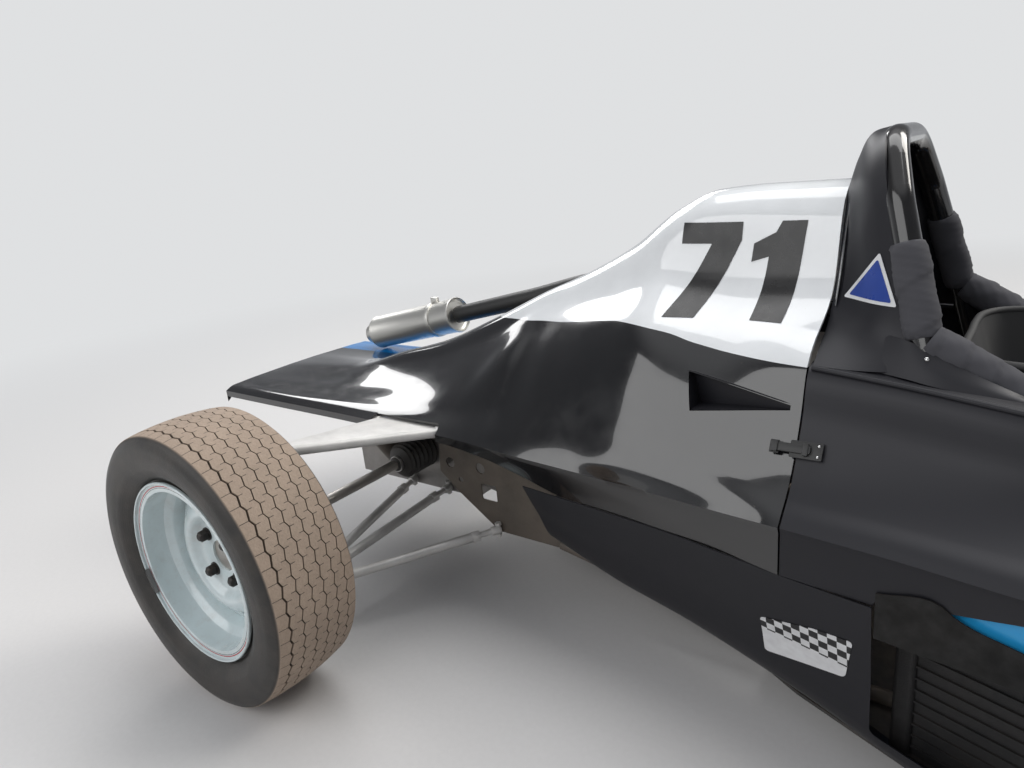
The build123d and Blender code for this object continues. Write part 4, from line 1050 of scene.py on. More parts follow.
def shape_rim(middle):
    """Steel rim with its outboard side towards +y."""
    outline = [(a / 1000, r / 1000) for a, r in BARREL_OUTER + BARREL_INNER]
    barrel = turned(outline, middle, RING_STEPS, {"radius": [r for a, r in outline]})
    walls = ([((a - DISC_HALF) / 1000, r / 1000) for a, r in DISC]
             + [((a + DISC_HALF) / 1000, r / 1000) for a, r in reversed(DISC)])
    disc = turned(walls, middle, RING_STEPS, {"radius": [r for a, r in walls]})
    count, circle, long, wide = VENTS
    for k in range(count):
        angle = 2 * math.pi * (k + 0.5) / count
        slot = []
        for step in range(SLOT_STEPS):
            turn = 2 * math.pi * step / SLOT_STEPS
            along = (long - wide) / 2000 * (1 if math.sin(turn) > 0 else -1)
            along += wide / 2000 * math.sin(turn)
            r = circle / 1000 + wide / 2000 * math.cos(turn)
            slot.append((middle[0] + r * math.cos(angle) - along * math.sin(angle),
                         middle[2] + r * math.sin(angle) + along * math.cos(angle)))
        cut(disc, prism(slot, middle[1] - 0.03, middle[1] + 0.05, "Y"))
    return join(barrel, disc)


# Wheel nut: corners, inner and outer end outboard of the rim's middle, radius at each end
NUT_STEPS = ((24, 0.0055, 0.0095, 0.0135, 0.0135), (6, 0.0095, 0.0215, 0.0121, 0.0121),
             (24, 0.0215, 0.0262, 0.0104, 0.0062))
# Balance weight in millimetres: points of (outboard, radius), where it starts and its length in degrees
WEIGHT = ((74.5, 174), (82, 174.5), (82, 179), (80.4, 181.2), (80.4, 177.6), (76, 176.4))
WEIGHT_START, WEIGHT_SPAN = -30, 17


def shape_nuts(middle):
    """Four wheel nuts, each a hexagon with a crowned end on its conical seat."""
    pieces = []
    for k in range(4):
        angle = math.radians(45 + 90 * k)
        x, z = middle[0] + STUD_CIRCLE * math.cos(angle), middle[2] + STUD_CIRCLE * math.sin(angle)
        for corners, low, high, first, second in NUT_STEPS:
            bpy.ops.object.select_all(action="DESELECT")
            bpy.ops.mesh.primitive_cone_add(
                vertices=corners, radius1=first, radius2=second, depth=high - low,
                location=(x, middle[1] + (low + high) / 2, z), rotation=(-math.pi / 2, 0, 0))
            piece = bpy.context.active_object
            modify(piece, "BEVEL", width=0.0008, segments=2, limit_method="ANGLE")
            pieces.append(piece)
    return join(*pieces)


def shape_weight(middle):
    """Balance weight clipped on the outboard flange, low on the wheel."""
    profile = [(a / 1000, r / 1000) for a, r in WEIGHT]
    steps, first = 10, math.radians(WEIGHT_START)

    def place(i, j):
        side, radius = profile[i % len(profile)]
        angle = first + math.radians(WEIGHT_SPAN) * j / steps
        return (middle[0] + radius * math.cos(angle), middle[1] + side, middle[2] + radius * math.sin(angle))

    piece = grid(len(profile), steps, place)
    return sealed(piece, bpy.ops.mesh.fill)


def copy_to(piece, start, end, turned_round):
    """Copy of a piece moved from one middle to another, turned half round the upright axis or not."""
    twin = bpy.data.objects.new(piece.name, piece.data.copy())
    bpy.context.scene.collection.objects.link(twin)
    turn = Matrix.Rotation(math.pi, 4, "Z") if turned_round else Matrix.Identity(4)
    twin.data.transform(Matrix.Translation(end) @ turn @ Matrix.Translation(-start) @ piece.matrix_world)
    return twin


class CAR_OT_wheels(bpy.types.Operator):
    """Tyres with zigzag grooves on steel rims, with nuts and balance weights"""
    bl_idname = "car.wheels"
    bl_label = "Wheels"

    def execute(self, context):
        sizes = context.scene.car_wheels
        for axle in ("front", "rear"):
            name = f"{axle}_left"
            low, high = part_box(f"{name}_tyre")
            middle = centre(f"{name}_tyre")
            tyre = shape_tyre(middle, (high.z - low.z) / 2, high.y - low.y, sizes)
            shapes = {"tyre": (tyre, "tyre_tread", "tyre_rubber"),
                      "rim": (shape_rim(middle), "wheel_rim", "wheel_enamel"),
                      "nuts": (shape_nuts(middle), "nut_steel", "bare_steel"),
                      "weight": (shape_weight(middle), "lead_grey", "bare_steel")}
            for kind, (piece, look, slot) in shapes.items():
                other = centre(f"{axle}_right_tyre")
                twin = copy_to(piece, middle, other, True)
                for side, shape in (("left", piece), ("right", twin)):
                    finish(shape, f"{axle}_{side}_{kind}_shape", f"{axle}_{side}_wheel", look, 30.0)
                    if kind in ("tyre", "rim"):
                        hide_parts(f"{axle}_{side}_{kind}")
        return {"FINISHED"}


class CAR_OT_rods(bpy.types.Operator):
    """Painted wishbones, the faired upper arm and the pushrods"""
    bl_idname = "car.rods"
    bl_label = "Suspension rods"

    def execute(self, context):
        for key, rods in RODS.items():
            pieces = []
            for side in (-1, 1):
                ends = [(mm(start, side), mm(end, side), radius / 1000) for start, end, radius in rods]
                for start, end, radius in ends:
                    pieces += jointed_rod(start, end, radius)
                for ball in sorted({start for start, end, radius in rods}):
                    if key != "front_pushrod":
                        pieces.append(ball_joint(mm(ball, side), 0.014, rods[0][2] / 1000 + 0.003))
                if key == "rear_upper_arm":
                    pieces.append(self.web(ends))
            node = key + "s"
            piece = join(*pieces)
            finish(piece, f"{key}_rods", ROOT, "silver_paint")
            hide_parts(node)
        return {"FINISHED"}

    def web(self, ends):
        """Fairing folded round the two tubes, the front one standing out as a bead."""
        (ball, rear, radius), (_, front, _) = ends
        rows, half = 16, 10

        def place(i, j):
            share = WEB_START + (WEB_SHARE - WEB_START) * j / rows
            a, b = ball.lerp(rear, share), ball.lerp(front, share)
            across = (b - a).normalized()
            up = across.cross(front - ball).normalized()
            i %= 2 * half + 2
            turn = math.pi * (i if i <= half else i - 1) / half
            middle, size = (b, radius * 0.90) if i <= half else (a, radius * 1.04)
            return middle + (across * math.sin(turn) + up * math.cos(turn)) * size

        piece = grid(2 * half + 2, rows, place)
        return sealed(piece, bpy.ops.mesh.edge_face_add)


# Race number, each digit as an outline in its own square
DIGITS = {
    "7": ((0.0, 1.0), (1.0, 1.0), (1.0, 0.80), (0.52, 0.0), (0.02, 0.0), (0.52, 0.76), (0.0, 0.76)),
    "1": ((0.26, 0.0), (0.74, 0.0), (0.84, 1.0), (0.48, 1.0), (0.40, 0.88), (0.08, 0.76), (0.06, 0.56),
          (0.32, 0.62)),
}
# Middle of the number, its foot, width of a digit and distance between two
NUMBER_PLACE = (0.798, 0.664)
DIGIT_WIDTH = 0.113
DIGIT_PITCH = 0.126
# Half width at which a marking starts, outside every panel, and the distance between its cuts
OUTSIDE = 0.6
CUT_PITCH = 0.008


def laid_on(piece, target, way, proud):
    """Moves a flat piece along y on to a panel."""
    modify(piece, "SHRINKWRAP", target=target, wrap_method="PROJECT", use_project_x=False,
           use_project_y=True, use_project_z=False, use_negative_direction=way > 0,
           use_positive_direction=way < 0, wrap_mode="ABOVE_SURFACE", offset=proud)


def marking(outline, side, target, name, look, proud=0.0008):
    """Sheet marking over an outline of (frame x, z), laid on one side of a panel."""
    bpy.ops.object.select_all(action="DESELECT")
    bpy.ops.mesh.primitive_circle_add(vertices=len(outline), radius=1.0, fill_type="NGON")
    piece = bpy.context.active_object
    for vertex, (x, z) in zip(piece.data.vertices, outline):
        vertex.co = (x, side * OUTSIDE, z)
    xs, zs = [x for x, z in outline], [z for x, z in outline]
    cuts = []
    for axis, low, high in ((0, min(xs), max(xs)), (2, min(zs), max(zs))):
        normal = [0.0, 0.0, 0.0]
        normal[axis] = 1.0
        count = max(1, round((high - low) / CUT_PITCH))
        for k in range(1, count):
            spot = [0.0, side * OUTSIDE, 0.0]
            spot[axis] = low + (high - low) * k / count
            cuts += [ALL, (bpy.ops.mesh.bisect, {"plane_co": spot, "plane_no": normal})]
    edit(piece, *cuts)
    laid_on(piece, target, side, proud)
    modify(piece, "SOLIDIFY", thickness=0.0006, offset=0.0)
    return finish(piece, name, ROOT, look)


class CAR_OT_markings(bpy.types.Operator):
    """Slanted race number on both sides of the white panel"""
    bl_idname = "car.markings"
    bl_label = "Markings"

    def execute(self, context):
        height = context.scene.car_body.number_height
        cover = bpy.data.objects["cover_shell"]
        for name, side in SIDES:
            for index, digit in enumerate("71"):
                outline = []
                for a, b in DIGITS[digit]:
                    along = (index - 0.5) * DIGIT_PITCH + (a - 0.5) * DIGIT_WIDTH
                    station = NUMBER_PLACE[0] * 1000 - side * along * 1000
                    outline.append((at(station), NUMBER_PLACE[1] + b * height))
                marking(outline, side, cover, f"{name}_number_{index}", "number_black")
        return {"FINISHED"}


def curve(points, pieces, level=False):
    """Smooth line through points, level across the car at its start if asked."""
    points = [Vector(point) for point in points]
    marks = [0.0]
    for a, b in zip(points, points[1:]):
        marks.append(marks[-1] + max((b - a).length, 1e-6))
    slopes = []
    for k, point in enumerate(points):
        if k == 0:
            way = (points[1] - point) / marks[1]
            slopes.append(Vector((0, way.length, 0)) if level else way)
        elif k == len(points) - 1:
            slopes.append((point - points[k - 1]) / (marks[k] - marks[k - 1]))
        else:
            before, after = marks[k] - marks[k - 1], marks[k + 1] - marks[k]
            first = (point - points[k - 1]) / before * after
            slopes.append((first + (points[k + 1] - point) / after * before) / (before + after))
    line = []
    for k in range(len(points) - 1):
        reach = marks[k + 1] - marks[k]
        for step in range(pieces + (k == len(points) - 2)):
            t = step / pieces
            line.append(points[k] * ((1 + 2 * t) * (1 - t) ** 2) + slopes[k] * (reach * t * (1 - t) ** 2)
                        + points[k + 1] * (t * t * (3 - 2 * t)) - slopes[k + 1] * (reach * t * t * (1 - t)))
    return line


def skinned(rows, across=6, along=6, wall=0.003, mirrored=True, level=True):
    """Smooth sheet through rows of (station, y, z) in millimetres, whole across the car or one side."""
    lines = [curve([mm(point) for point in row], across, level and mirrored) for row in rows]
    columns = [curve([line[k] for line in lines], along) for k in range(len(lines[0]))]
    wide, count = len(columns) - 1, len(columns[0])

    def place(i, j):
        if not mirrored:
            return columns[wide - i][j]
        x, y, z = columns[abs(i - wide)][j]
        return (x, y if i < wide else -y, z)

    piece = grid(2 * wide if mirrored else wide, count - 1, place)
    edit(piece, MERGE)
    modify(piece, "SOLIDIFY", thickness=wall, offset=-1.0)
    return piece


def other_side(piece):
    """Copy of a piece on the other side of the centreline."""
    twin = bpy.data.objects.new(piece.name, piece.data.copy())
    bpy.context.scene.collection.objects.link(twin)
    twin.data.transform(Matrix.Scale(-1.0, 4, (0, 1, 0)))
    edit(twin, OUTWARDS)
    return twin


# Cowl from the cover's front edge to the roll hoop, in rows of (station, y, z)
COWL = (
    ((951, 0, 874), (951, 34, 862), (952, 62, 812), (953, 88, 756), (954, 118, 704), (955, 160, 662),
     (956, 210, 638), (957, 245, 621)),
    ((963, 0, 912), (965, 46, 902), (970, 84, 858), (978, 112, 790), (986, 138, 726), (994, 172, 676),
     (1000, 214, 642), (1004, 246, 619)),
    ((984, 0, 942), (987, 64, 937), (995, 112, 906), (1006, 143, 850), (1024, 168, 778), (1040, 192, 706),
     (1050, 214, 655), (1056, 242, 619)),
    ((1008, 0, 947), (1010, 70, 945), (1016, 122, 924), (1026, 154, 872), (1046, 179, 795), (1068, 204, 715),
     (1084, 221, 655), (1092, 232, 619)),
)
# Bright strip on each side of the cowl, in rows of (station, y, z)
COWL_STRIP = (
    ((958, 66, 838), (958, 85, 795), (958, 98, 760), (958, 113, 725), (958, 134, 688)),
    ((961, 74, 839), (961, 92, 796), (961, 105, 761), (961, 120, 726), (961, 141, 689)),
)
# Sheet from the hoop's foot forward along the cockpit's edge, in rows of (station, y, z)
SHOULDER = (
    ((1046, 205, 664), (1078, 222, 660), (1108, 230, 647), (1150, 237, 628), (1215, 241, 600),
     (1280, 241, 570)),
    ((1046, 222, 642), (1084, 237, 638), (1110, 246, 627), (1150, 250, 614), (1215, 252, 598),
     (1280, 249, 582)),
    ((1046, 238, 616), (1088, 252, 613), (1112, 257, 609), (1150, 258, 603), (1215, 257, 593),
     (1280, 254, 580)),
)
RIM_EDGE = ((958, 251, 619.5), (1100, 268, 606.5), (1250, 284, 588.5), (1420, 287, 570), (1600, 282, 560.5),
            (1680, 272, 556), (1740, 257, 556.5))
# Leg pads and stay pads in millimetres: start, end, radius, turns of tape
LEG_PAD = ((1060, 169, 788), (1094, 208, 662), 24, 2.0)
STAY_PAD = ((1101, 208, 660), (1474, 224, 428), 26, 11.0)
POD = (
    # station, top, waist, bottom and turned in foot as (y, z)
    (432, (297, 339), (255, 262), (197, 178), (172, 176)),
    (600, (317, 339), (284, 244), (222, 136), (194, 133)),
    (750, (337, 339), (300, 230), (238, 108), (209, 104)),
    (952, (379, 339), (340, 212), (276, 70), (247, 66)),
    (1250, (425, 339), (413, 205), (397, 55), (370, 51)),
    (1600, (460, 339), (455, 200), (446, 55), (418, 51)),
    (1878, (452, 339), (448, 200), (439, 55), (412, 51)),
)
# Corners of the chequered patch as (station, z)
PATCH = ((914, 153), (1044, 182), (1056, 262), (1000, 256), (912, 230))
# Outline of the radiator opening as (station, z), and the sheets seen in it as rows of (station, y, z)
POD_OPENING = ((1080, 98), (1460, 98), (1460, 392), (1330, 391), (1243, 382), (1164, 365), (1080, 349))
SHROUD = (
    ((1084, 398, 362), (1160, 410, 374), (1175, 412, 364), (1246, 421, 345), (1330, 430, 326),
     (1456, 442, 300)),
    ((1084, 394, 290), (1160, 406, 290), (1175, 408, 290), (1246, 418, 290), (1330, 427, 288),
     (1456, 439, 286)),
)
LINING = (
    ((1084, 386, 396), (1164, 398, 396), (1246, 411, 398), (1330, 420, 398), (1456, 432, 398)),
    ((1084, 386, 345), (1164, 398, 345), (1246, 411, 330), (1330, 420, 312), (1456, 432, 290)),
)


def pod_mouth(side):
    """Cutter through the flank in the outline of the radiator opening."""
    outline = rounded([(at(x), z / 1000) for x, z in POD_OPENING], 0.012)
    return prism(outline, *sorted((side * 0.33, side * 0.5)), "Y")


def wound_tube(start, end, radius, turns, seed):
    """Foam tube bound with tape: a spiral step at each turn and creases between them."""
    start, end = Vector(start), Vector(end)
    way = (end - start).normalized()
    side = way.orthogonal().normalized()
    up = way.cross(side)
    around, along = 56, max(24, round((end - start).length / 0.004))

    def place(i, j):
        angle, share = 2 * math.pi * i / around, j / along
        spiral = (share * turns - angle / (2 * math.pi)) % 1.0
        step = 0.0018 * spiral
        crease = sum(size * math.sin(waves * angle + drift * share + shift)
                     for size, waves, drift, shift in ((0.0004, 5, 70, seed), (0.0003, 9, -120, 0),
                                                       (0.0005, 2, 14, seed)))
        blunt = min(1.0, 12 * share, 12 * (1 - share))
        swell = radius * (0.86 + 0.14 * math.sqrt(blunt)) + step + crease
        return start.lerp(end, share) + (side * math.cos(angle) + up * math.sin(angle)) * swell

    piece = grid(around, along, place)
    return sealed(piece, bpy.ops.mesh.edge_face_add)


class CAR_OT_hoop_trim(bpy.types.Operator):
    """Cowl behind the roll hoop, its bright strip, and the taped pads on the hoop and its stays"""
    bl_idname = "car.hoop_trim"
    bl_label = "Hoop trim"

    def execute(self, context):
        cowl = skinned(COWL)
        finish(cowl, "hoop_cowl", ROOT, "body_black", angle=50.0)
        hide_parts("hoop_fairing")
        strip = skinned(COWL_STRIP, wall=0.0012, mirrored=False)
        finish(join(strip, other_side(strip)), "cowl_strip", ROOT, "bright_plate")
        shoulder = skinned(SHOULDER, wall=0.002, mirrored=False)
        finish(join(shoulder, other_side(shoulder)), "shoulder_sheets", ROOT, "body_black", angle=50.0)
        bead = swept(RIM_EDGE, 0.0045, 16, 6)
        finish(join(bead, other_side(bead)), "rim_beads", ROOT, "body_black")
        for name, side in SIDES:
            for kind, (start, end, radius, turns) in (("leg", LEG_PAD), ("stay", STAY_PAD)):
                pad = wound_tube(mm(start, side), mm(end, side), radius / 1000, turns, side + len(kind))
                finish(pad, f"{name}_{kind}_pad", ROOT, "tape", angle=60.0)
                if kind == "stay":
                    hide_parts("hoop_stays")
        return {"FINISHED"}


# Seat as (station, z) of its middle line and of its side edge
SEAT = (((1134, 624), (1222, 624)), ((1184, 440), (1262, 505)), ((1243, 240), (1300, 386)),
        ((1334, 84), (1370, 300)), ((1430, 68), (1440, 244)), ((1540, 102), (1530, 228)),
        ((1637, 140), (1602, 214)))
# Share of the way from the middle line to the edge, and half width there
SEAT_SECTION = ((0.0, 0), (0.0, 80), (0.06, 128), (0.30, 164), (0.70, 180), (1.0, 184))
SEAT_BEAD = 0.006


class CAR_OT_seat(bpy.types.Operator):
    """Bucket seat with rounded sides and a rolled edge"""
    bl_idname = "car.seat"
    bl_label = "Seat"

    def execute(self, context):
        rows = [[(low[0] + (edge[0] - low[0]) * share, wide, low[1] + (edge[1] - low[1]) * share)
                 for share, wide in SEAT_SECTION] for low, edge in SEAT]
        seat = skinned(rows, wall=-0.004)
        half = SEAT_SECTION[-1][1]
        edges = [swept([(edge[0], side * half, edge[1]) for low, edge in SEAT], SEAT_BEAD, 16, 6)
                 for side in (1, -1)]
        back = [(x, -y, z) for x, y, z in reversed(rows[0][1:])] + rows[0]
        top = swept(back, SEAT_BEAD, 16, 4)
        finish(join(seat, top, *edges), "seat_shape", ROOT, "seat_shell", angle=50.0)
        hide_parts("seat")
        return {"FINISHED"}


class CAR_OT_side_pods(bpy.types.Operator):
    """Side pod panels, tucked in below and open over the radiators"""
    bl_idname = "car.side_pods"
    bl_label = "Side pods"

    def execute(self, context):
        rows = [[(station, y, z) for y, z in points] for station, *points in POD]
        pod = skinned(rows, across=7, along=10, wall=0.002, mirrored=False)
        cut(pod, pod_mouth(1))
        pods = finish(join(pod, other_side(pod)), "pod_panels", ROOT, "body_black", angle=40.0)
        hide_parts("side_pods")
        patch = rounded([(at(x), z / 1000) for x, z in PATCH], 0.008)
        for name, side in SIDES:
            marking(patch, side, pods, f"{name}_patch", "chequer_patch")
        for table, name, look in ((SHROUD, "radiator_shrouds", "foam_black"),
                                  (LINING, "duct_linings", "duct_blue")):
            sheet = skinned(table, wall=0.002, mirrored=False)
            finish(join(sheet, other_side(sheet)), name, ROOT, look)
        return {"FINISHED"}


# Exhaust: the pipe's centreline and the silencer's front end as (station, y, z), the way it points
PIPE = ((650, 115.3, 540), (650, 170, 540), (632, 192, 570), (600, 197, 632), (560, 199, 655),
        (400, 200, 660), (132, 200, 604), (-125, 200, 548))
PIPE_RADIUS = 0.024
SILENCER_FRONT = (-125.3, 200, 548)
SILENCER_WAY = (-525, 0, -112)
# Points of (distance along the silencer, radius): front cap set into a rolled edge, the drum, and the
# rear cap round its stub
DRUM = ((0.012, 0.0), (0.012, 0.040), (0.008, 0.046), (0.001, 0.0475), (-0.001, 0.049), (0.001, 0.0508),
        (0.005, 0.0508), (0.009, 0.049), (0.331, 0.049), (0.335, 0.0508), (0.339, 0.0508), (0.341, 0.049),
        (0.339, 0.0475), (0.334, 0.045), (0.333, 0.034), (0.336, 0.0305), (0.379, 0.0300),
        (0.380, 0.0288), (0.378, 0.0278), (0.30, 0.0278), (0.30, 0.0))
STRAP = ((0.078, 0.0488), (0.078, 0.0512), (0.082, 0.0520), (0.092, 0.0520), (0.096, 0.0512),
         (0.096, 0.0488))
STRAP_MIDDLE = 0.087


def swept(points, radius, sides=36, pieces=8):
    """Round tube along a smooth line through points."""
    line = curve([mm(point) for point in points], pieces)
    first = (line[1] - line[0]).normalized()
    across = first.orthogonal().normalized()
    frames = []
    for k, point in enumerate(line):
        way = (line[min(k + 1, len(line) - 1)] - line[max(k - 1, 0)]).normalized()
        across = (across - way * across.dot(way)).normalized()
        frames.append((point, across.copy(), way.cross(across)))

    def place(i, j):
        point, side, up = frames[j]
        angle = 2 * math.pi * i / sides
        return point + (side * math.cos(angle) + up * math.sin(angle)) * radius

    piece = grid(sides, len(line) - 1, place)
    sealed(piece)
    modify(piece, "SOLIDIFY", thickness=0.0015, offset=-1.0)
    return piece


def spun(profile, base, way, steps=72):
    """Solid of revolution about any axis from points of (distance along it, radius)."""
    way = way.normalized()
    side = way.orthogonal().normalized()
    up = way.cross(side)
    count = len(profile) - 1

    def place(i, j):
        along, radius = profile[i]
        angle = 2 * math.pi * j / steps
        return base + way * along + (side * math.cos(angle) + up * math.sin(angle)) * radius

    piece = grid(count, steps, place)
    return sealed(piece)


class CAR_OT_exhaust(bpy.types.Operator):
    """Black pipe, rolled silencer with its strap, and the tail stub"""
    bl_idname = "car.exhaust"
    bl_label = "Exhaust"

    def execute(self, context):
        pipe = finish(swept(PIPE, PIPE_RADIUS), "exhaust_tube", ROOT, "pipe_black")
        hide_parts("exhaust_pipe")
        base, way = mm(SILENCER_FRONT), Vector(SILENCER_WAY)
        drum, strap = spun(DRUM, base, way), spun(STRAP, base, way)
        lug = box_solid((-0.012, -0.006, 0.049), (0.012, 0.006, 0.066))
        modify(lug, "BEVEL", width=0.002, segments=2, limit_method="ANGLE")
        lug.data.transform(Matrix.Translation(base + way.normalized() * STRAP_MIDDLE))
        whole = finish(join(drum, strap, lug), "silencer_drum", ROOT, "stainless", angle=30.0)
        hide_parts("silencer")
        return {"FINISHED"}


# Latch: its middle as (station, y, z) and the flank's normal there
LATCH = (953.5, 308, 511)
LATCH_NORMAL = (0.0, 0.832, 0.555)
# Plates of the latch: length, width, lower and upper face, corner radius, shift along it
LATCH_PLATES = ((0.046, 0.026, 0.0, 0.0016, 0.003, 0.014), (0.014, 0.020, 0.0, 0.0016, 0.002, -0.031),
                (0.050, 0.013, 0.0016, 0.0072, 0.004, -0.004), (0.010, 0.017, 0.0016, 0.0088, 0.002, -0.030),
                (0.008, 0.019, 0.0016, 0.0086, 0.002, 0.014))
LATCH_RIVETS = ((0.031, 0.008, 0.0016), (0.031, -0.008, 0.0016), (-0.034, 0.006, 0.0016),
                (-0.034, -0.006, 0.0016))
# Triangle's corners and single rivets as (station, y, z)
SIGN = ((973, 137, 703), (1026, 169, 776), (1057, 206, 703))
SIGN_SHEETS = (("border", 1.0, 0.0012, "sign_white"), ("field", 0.80, 0.0018, "sign_blue"))
RIVETS = ((1103, 238, 641), (1236, 251, 594))


def on_flank(piece, side, middle, normal):
    """Turns a piece that lies flat round the origin on to a flank."""
    normal = Vector((normal[0], side * normal[1], normal[2]))
    ahead = Vector((1, 0, 0))
    ahead = (ahead - normal * ahead.dot(normal)).normalized()
    turn = Matrix((ahead, normal.cross(ahead), normal)).transposed().to_4x4()
    piece.data.transform(Matrix.Translation(middle) @ turn)
    return piece


def plate(long, wide, low, high, corner, shift=0.0):
    """Flat plate with rounded corners round the origin."""
    a, b = long / 2, wide / 2
    outline = rounded([(shift - a, -b), (shift + a, -b), (shift + a, b), (shift - a, b)], corner)
    piece = prism(outline, low, high)
    modify(piece, "BEVEL", width=0.0004, segments=2, limit_method="ANGLE")
    return piece


def stud_heads(places, radius):
    """Round heads of rivets, joined."""
    heads = []
    for place in places:
        bpy.ops.object.select_all(action="DESELECT")
        bpy.ops.mesh.primitive_uv_sphere_add(segments=20, ring_count=10, radius=radius, location=place)
        bpy.ops.object.transform_apply(location=True)
        heads.append(bpy.context.active_object)
    return join(*heads)


class CAR_OT_fittings(bpy.types.Operator):
    """Latches with their keepers and rivets, the blank triangle sign and single rivets"""
    bl_idname = "car.fittings"
    bl_label = "Fittings"

    def execute(self, context):
        for name, side in SIDES:
            middle = mm(LATCH, side)
            base = join(*[plate(*sizes) for sizes in LATCH_PLATES])
            finish(on_flank(base, side, middle, LATCH_NORMAL), f"{name}_latch", ROOT, "latch_plate")
            head = on_flank(stud_heads(LATCH_RIVETS, 0.0026), side, middle, LATCH_NORMAL)
            finish(head, f"{name}_latch_rivets", ROOT, "bright_plate")
            corners = [mm(point, side) for point in SIGN]
            self.sign(name, side, corners)
            studs = stud_heads([mm(point, side) for point in RIVETS], 0.0038)
            finish(studs, f"{name}_rivets", ROOT, "bright_plate")
        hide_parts("cover_latches")
        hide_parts("cover_latches")
        return {"FINISHED"}

    def sign(self, name, side, corners):
        """Blank triangle on the cowl: white border, blue field."""
        cowl = bpy.data.objects["hoop_cowl"]
        middle = sum(corners, Vector()) / 3
        for kind, share, proud, look in SIGN_SHEETS:
            spots = [middle.lerp(corner, share) for corner in corners]
            outline = rounded([(spot.x, spot.z) for spot in spots], 0.004)
            marking(outline, side, cowl, f"{name}_sign_{kind}", look, proud)


# Boot as points of (distance from the centreline, radius): inner end, one fold, outer end with its clip
BOOT_START = ((0.1205, 0.0), (0.1205, 0.0365))
BOOT_FOLD = ((0.0, 0.0366), (0.004, 0.0412), (0.006, 0.0432), (0.009, 0.0432), (0.011, 0.0412),
             (0.015, 0.0366))
BOOT_END = ((0.2135, 0.0366), (0.217, 0.030), (0.221, 0.019), (0.231, 0.0175), (0.233, 0.0145), (0.233, 0.0))
BOOT_CLIP = ((0.2235, 0.0170), (0.2235, 0.0196), (0.2295, 0.0196), (0.2295, 0.0170))
FIRST_FOLD, FOLD_PITCH, FOLDS = 0.122, 0.015, 6


class CAR_OT_driveline(bpy.types.Operator):
    """Folded rubber boots of the drive shafts with their clips"""
    bl_idname = "car.driveline"
    bl_label = "Driveline"

    def execute(self, context):
        for name, side in SIDES:
            hub = centre(f"rear_{name}_tyre")
            middle = Vector((hub.x, 0.0, hub.z))
            folds = [(FIRST_FOLD + fold * FOLD_PITCH + a, r) for fold in range(FOLDS) for a, r in BOOT_FOLD]
            way = Vector((0, side, 0))
            boot = spun((*BOOT_START, *folds, *BOOT_END), middle, way, 64)
            finish(boot, f"{name}_boot", f"rear_{name}_wheel", "boot_rubber", 50.0)
            clips = spun(BOOT_CLIP, middle, way, 48)
            finish(clips, f"{name}_boot_clips", f"rear_{name}_wheel", "bare_steel", 30.0)
        return {"FINISHED"}


# Mirror glass: its middle's y and z, half width and half height, and its two faces' stations
MIRROR_PLACE = (0.360, 0.640)
MIRROR_HALF = (0.056, 0.026)
MIRROR_FACES = (1664.2, 1666.4)


class CAR_OT_mirror_glass(bpy.types.Operator):
    """Glass in the two mirrors"""
    bl_idname = "car.mirror_glass"
    bl_label = "Mirror glass"

    def execute(self, context):
        for name, side in SIDES:
            (y, z), (wide, tall) = MIRROR_PLACE, MIRROR_HALF
            corners = [(side * y + a * wide, z + b * tall) for a, b in ((-1, -1), (1, -1), (1, 1), (-1, 1))]
            glass = prism(rounded(corners, 0.022, 8), *(at(station) for station in MIRROR_FACES), "X")
            finish(glass, f"{name}_mirror_glass", ROOT, "bright_plate")
        return {"FINISHED"}


def view_matrix(sizes):
    """Camera matrix from where it stands, its azimuth, tilt and roll."""
    turn, tilt, roll = sizes.azimuth, sizes.tilt, sizes.roll
    ahead = Vector((-math.sin(turn) * math.cos(tilt), math.cos(turn) * math.cos(tilt), -math.sin(tilt)))
    right = ahead.cross(Vector((0, 0, 1))).normalized()
    up = right.cross(ahead)
    rolled_right = right * math.cos(roll) + up * math.sin(roll)
    rolled_up = up * math.cos(roll) - right * math.sin(roll)
    matrix = Matrix((rolled_right, rolled_up, -ahead)).transposed().to_4x4()
    matrix.translation = sizes.camera_place
    return matrix


# Lamps: name, place, target, width, height, watts, colour
LAMPS = (
    ("key", (2.6, 3.0, 4.4), (-0.5, 0.0, 0.4), 3.0, 3.0, 210.0, (1.0, 0.97, 0.92)),
    ("fill", (-2.2, -4.4, 3.0), (-0.5, 0.0, 0.4), 6.0, 3.0, 120.0),
    ("top", (-0.3, 0.6, 4.6), (-0.3, 0.0, 0.4), 5.0, 2.2, 90.0),
    ("back", (-4.0, 2.6, 3.0), (-0.6, 0.0, 0.5), 3.5, 1.6, 80.0),
)
# Distances from the middle over which the floor fades into the backdrop
FADE = (1.8, 6.0)


def area_light(name, place, target, width, height, power, colour=(1.0, 1.0, 1.0)):
    """Rectangular soft light that looks at a target."""
    data = bpy.data.lights.new(name, "AREA")
    data.shape, data.size, data.size_y = "RECTANGLE", width, height
    data.energy, data.color = power, colour
    lamp = bpy.data.objects.new(name, data)
    bpy.context.scene.collection.objects.link(lamp)
    lamp.location = place
    lamp.rotation_euler = (Vector(target) - Vector(place)).to_track_quat("-Z", "Y").to_euler()


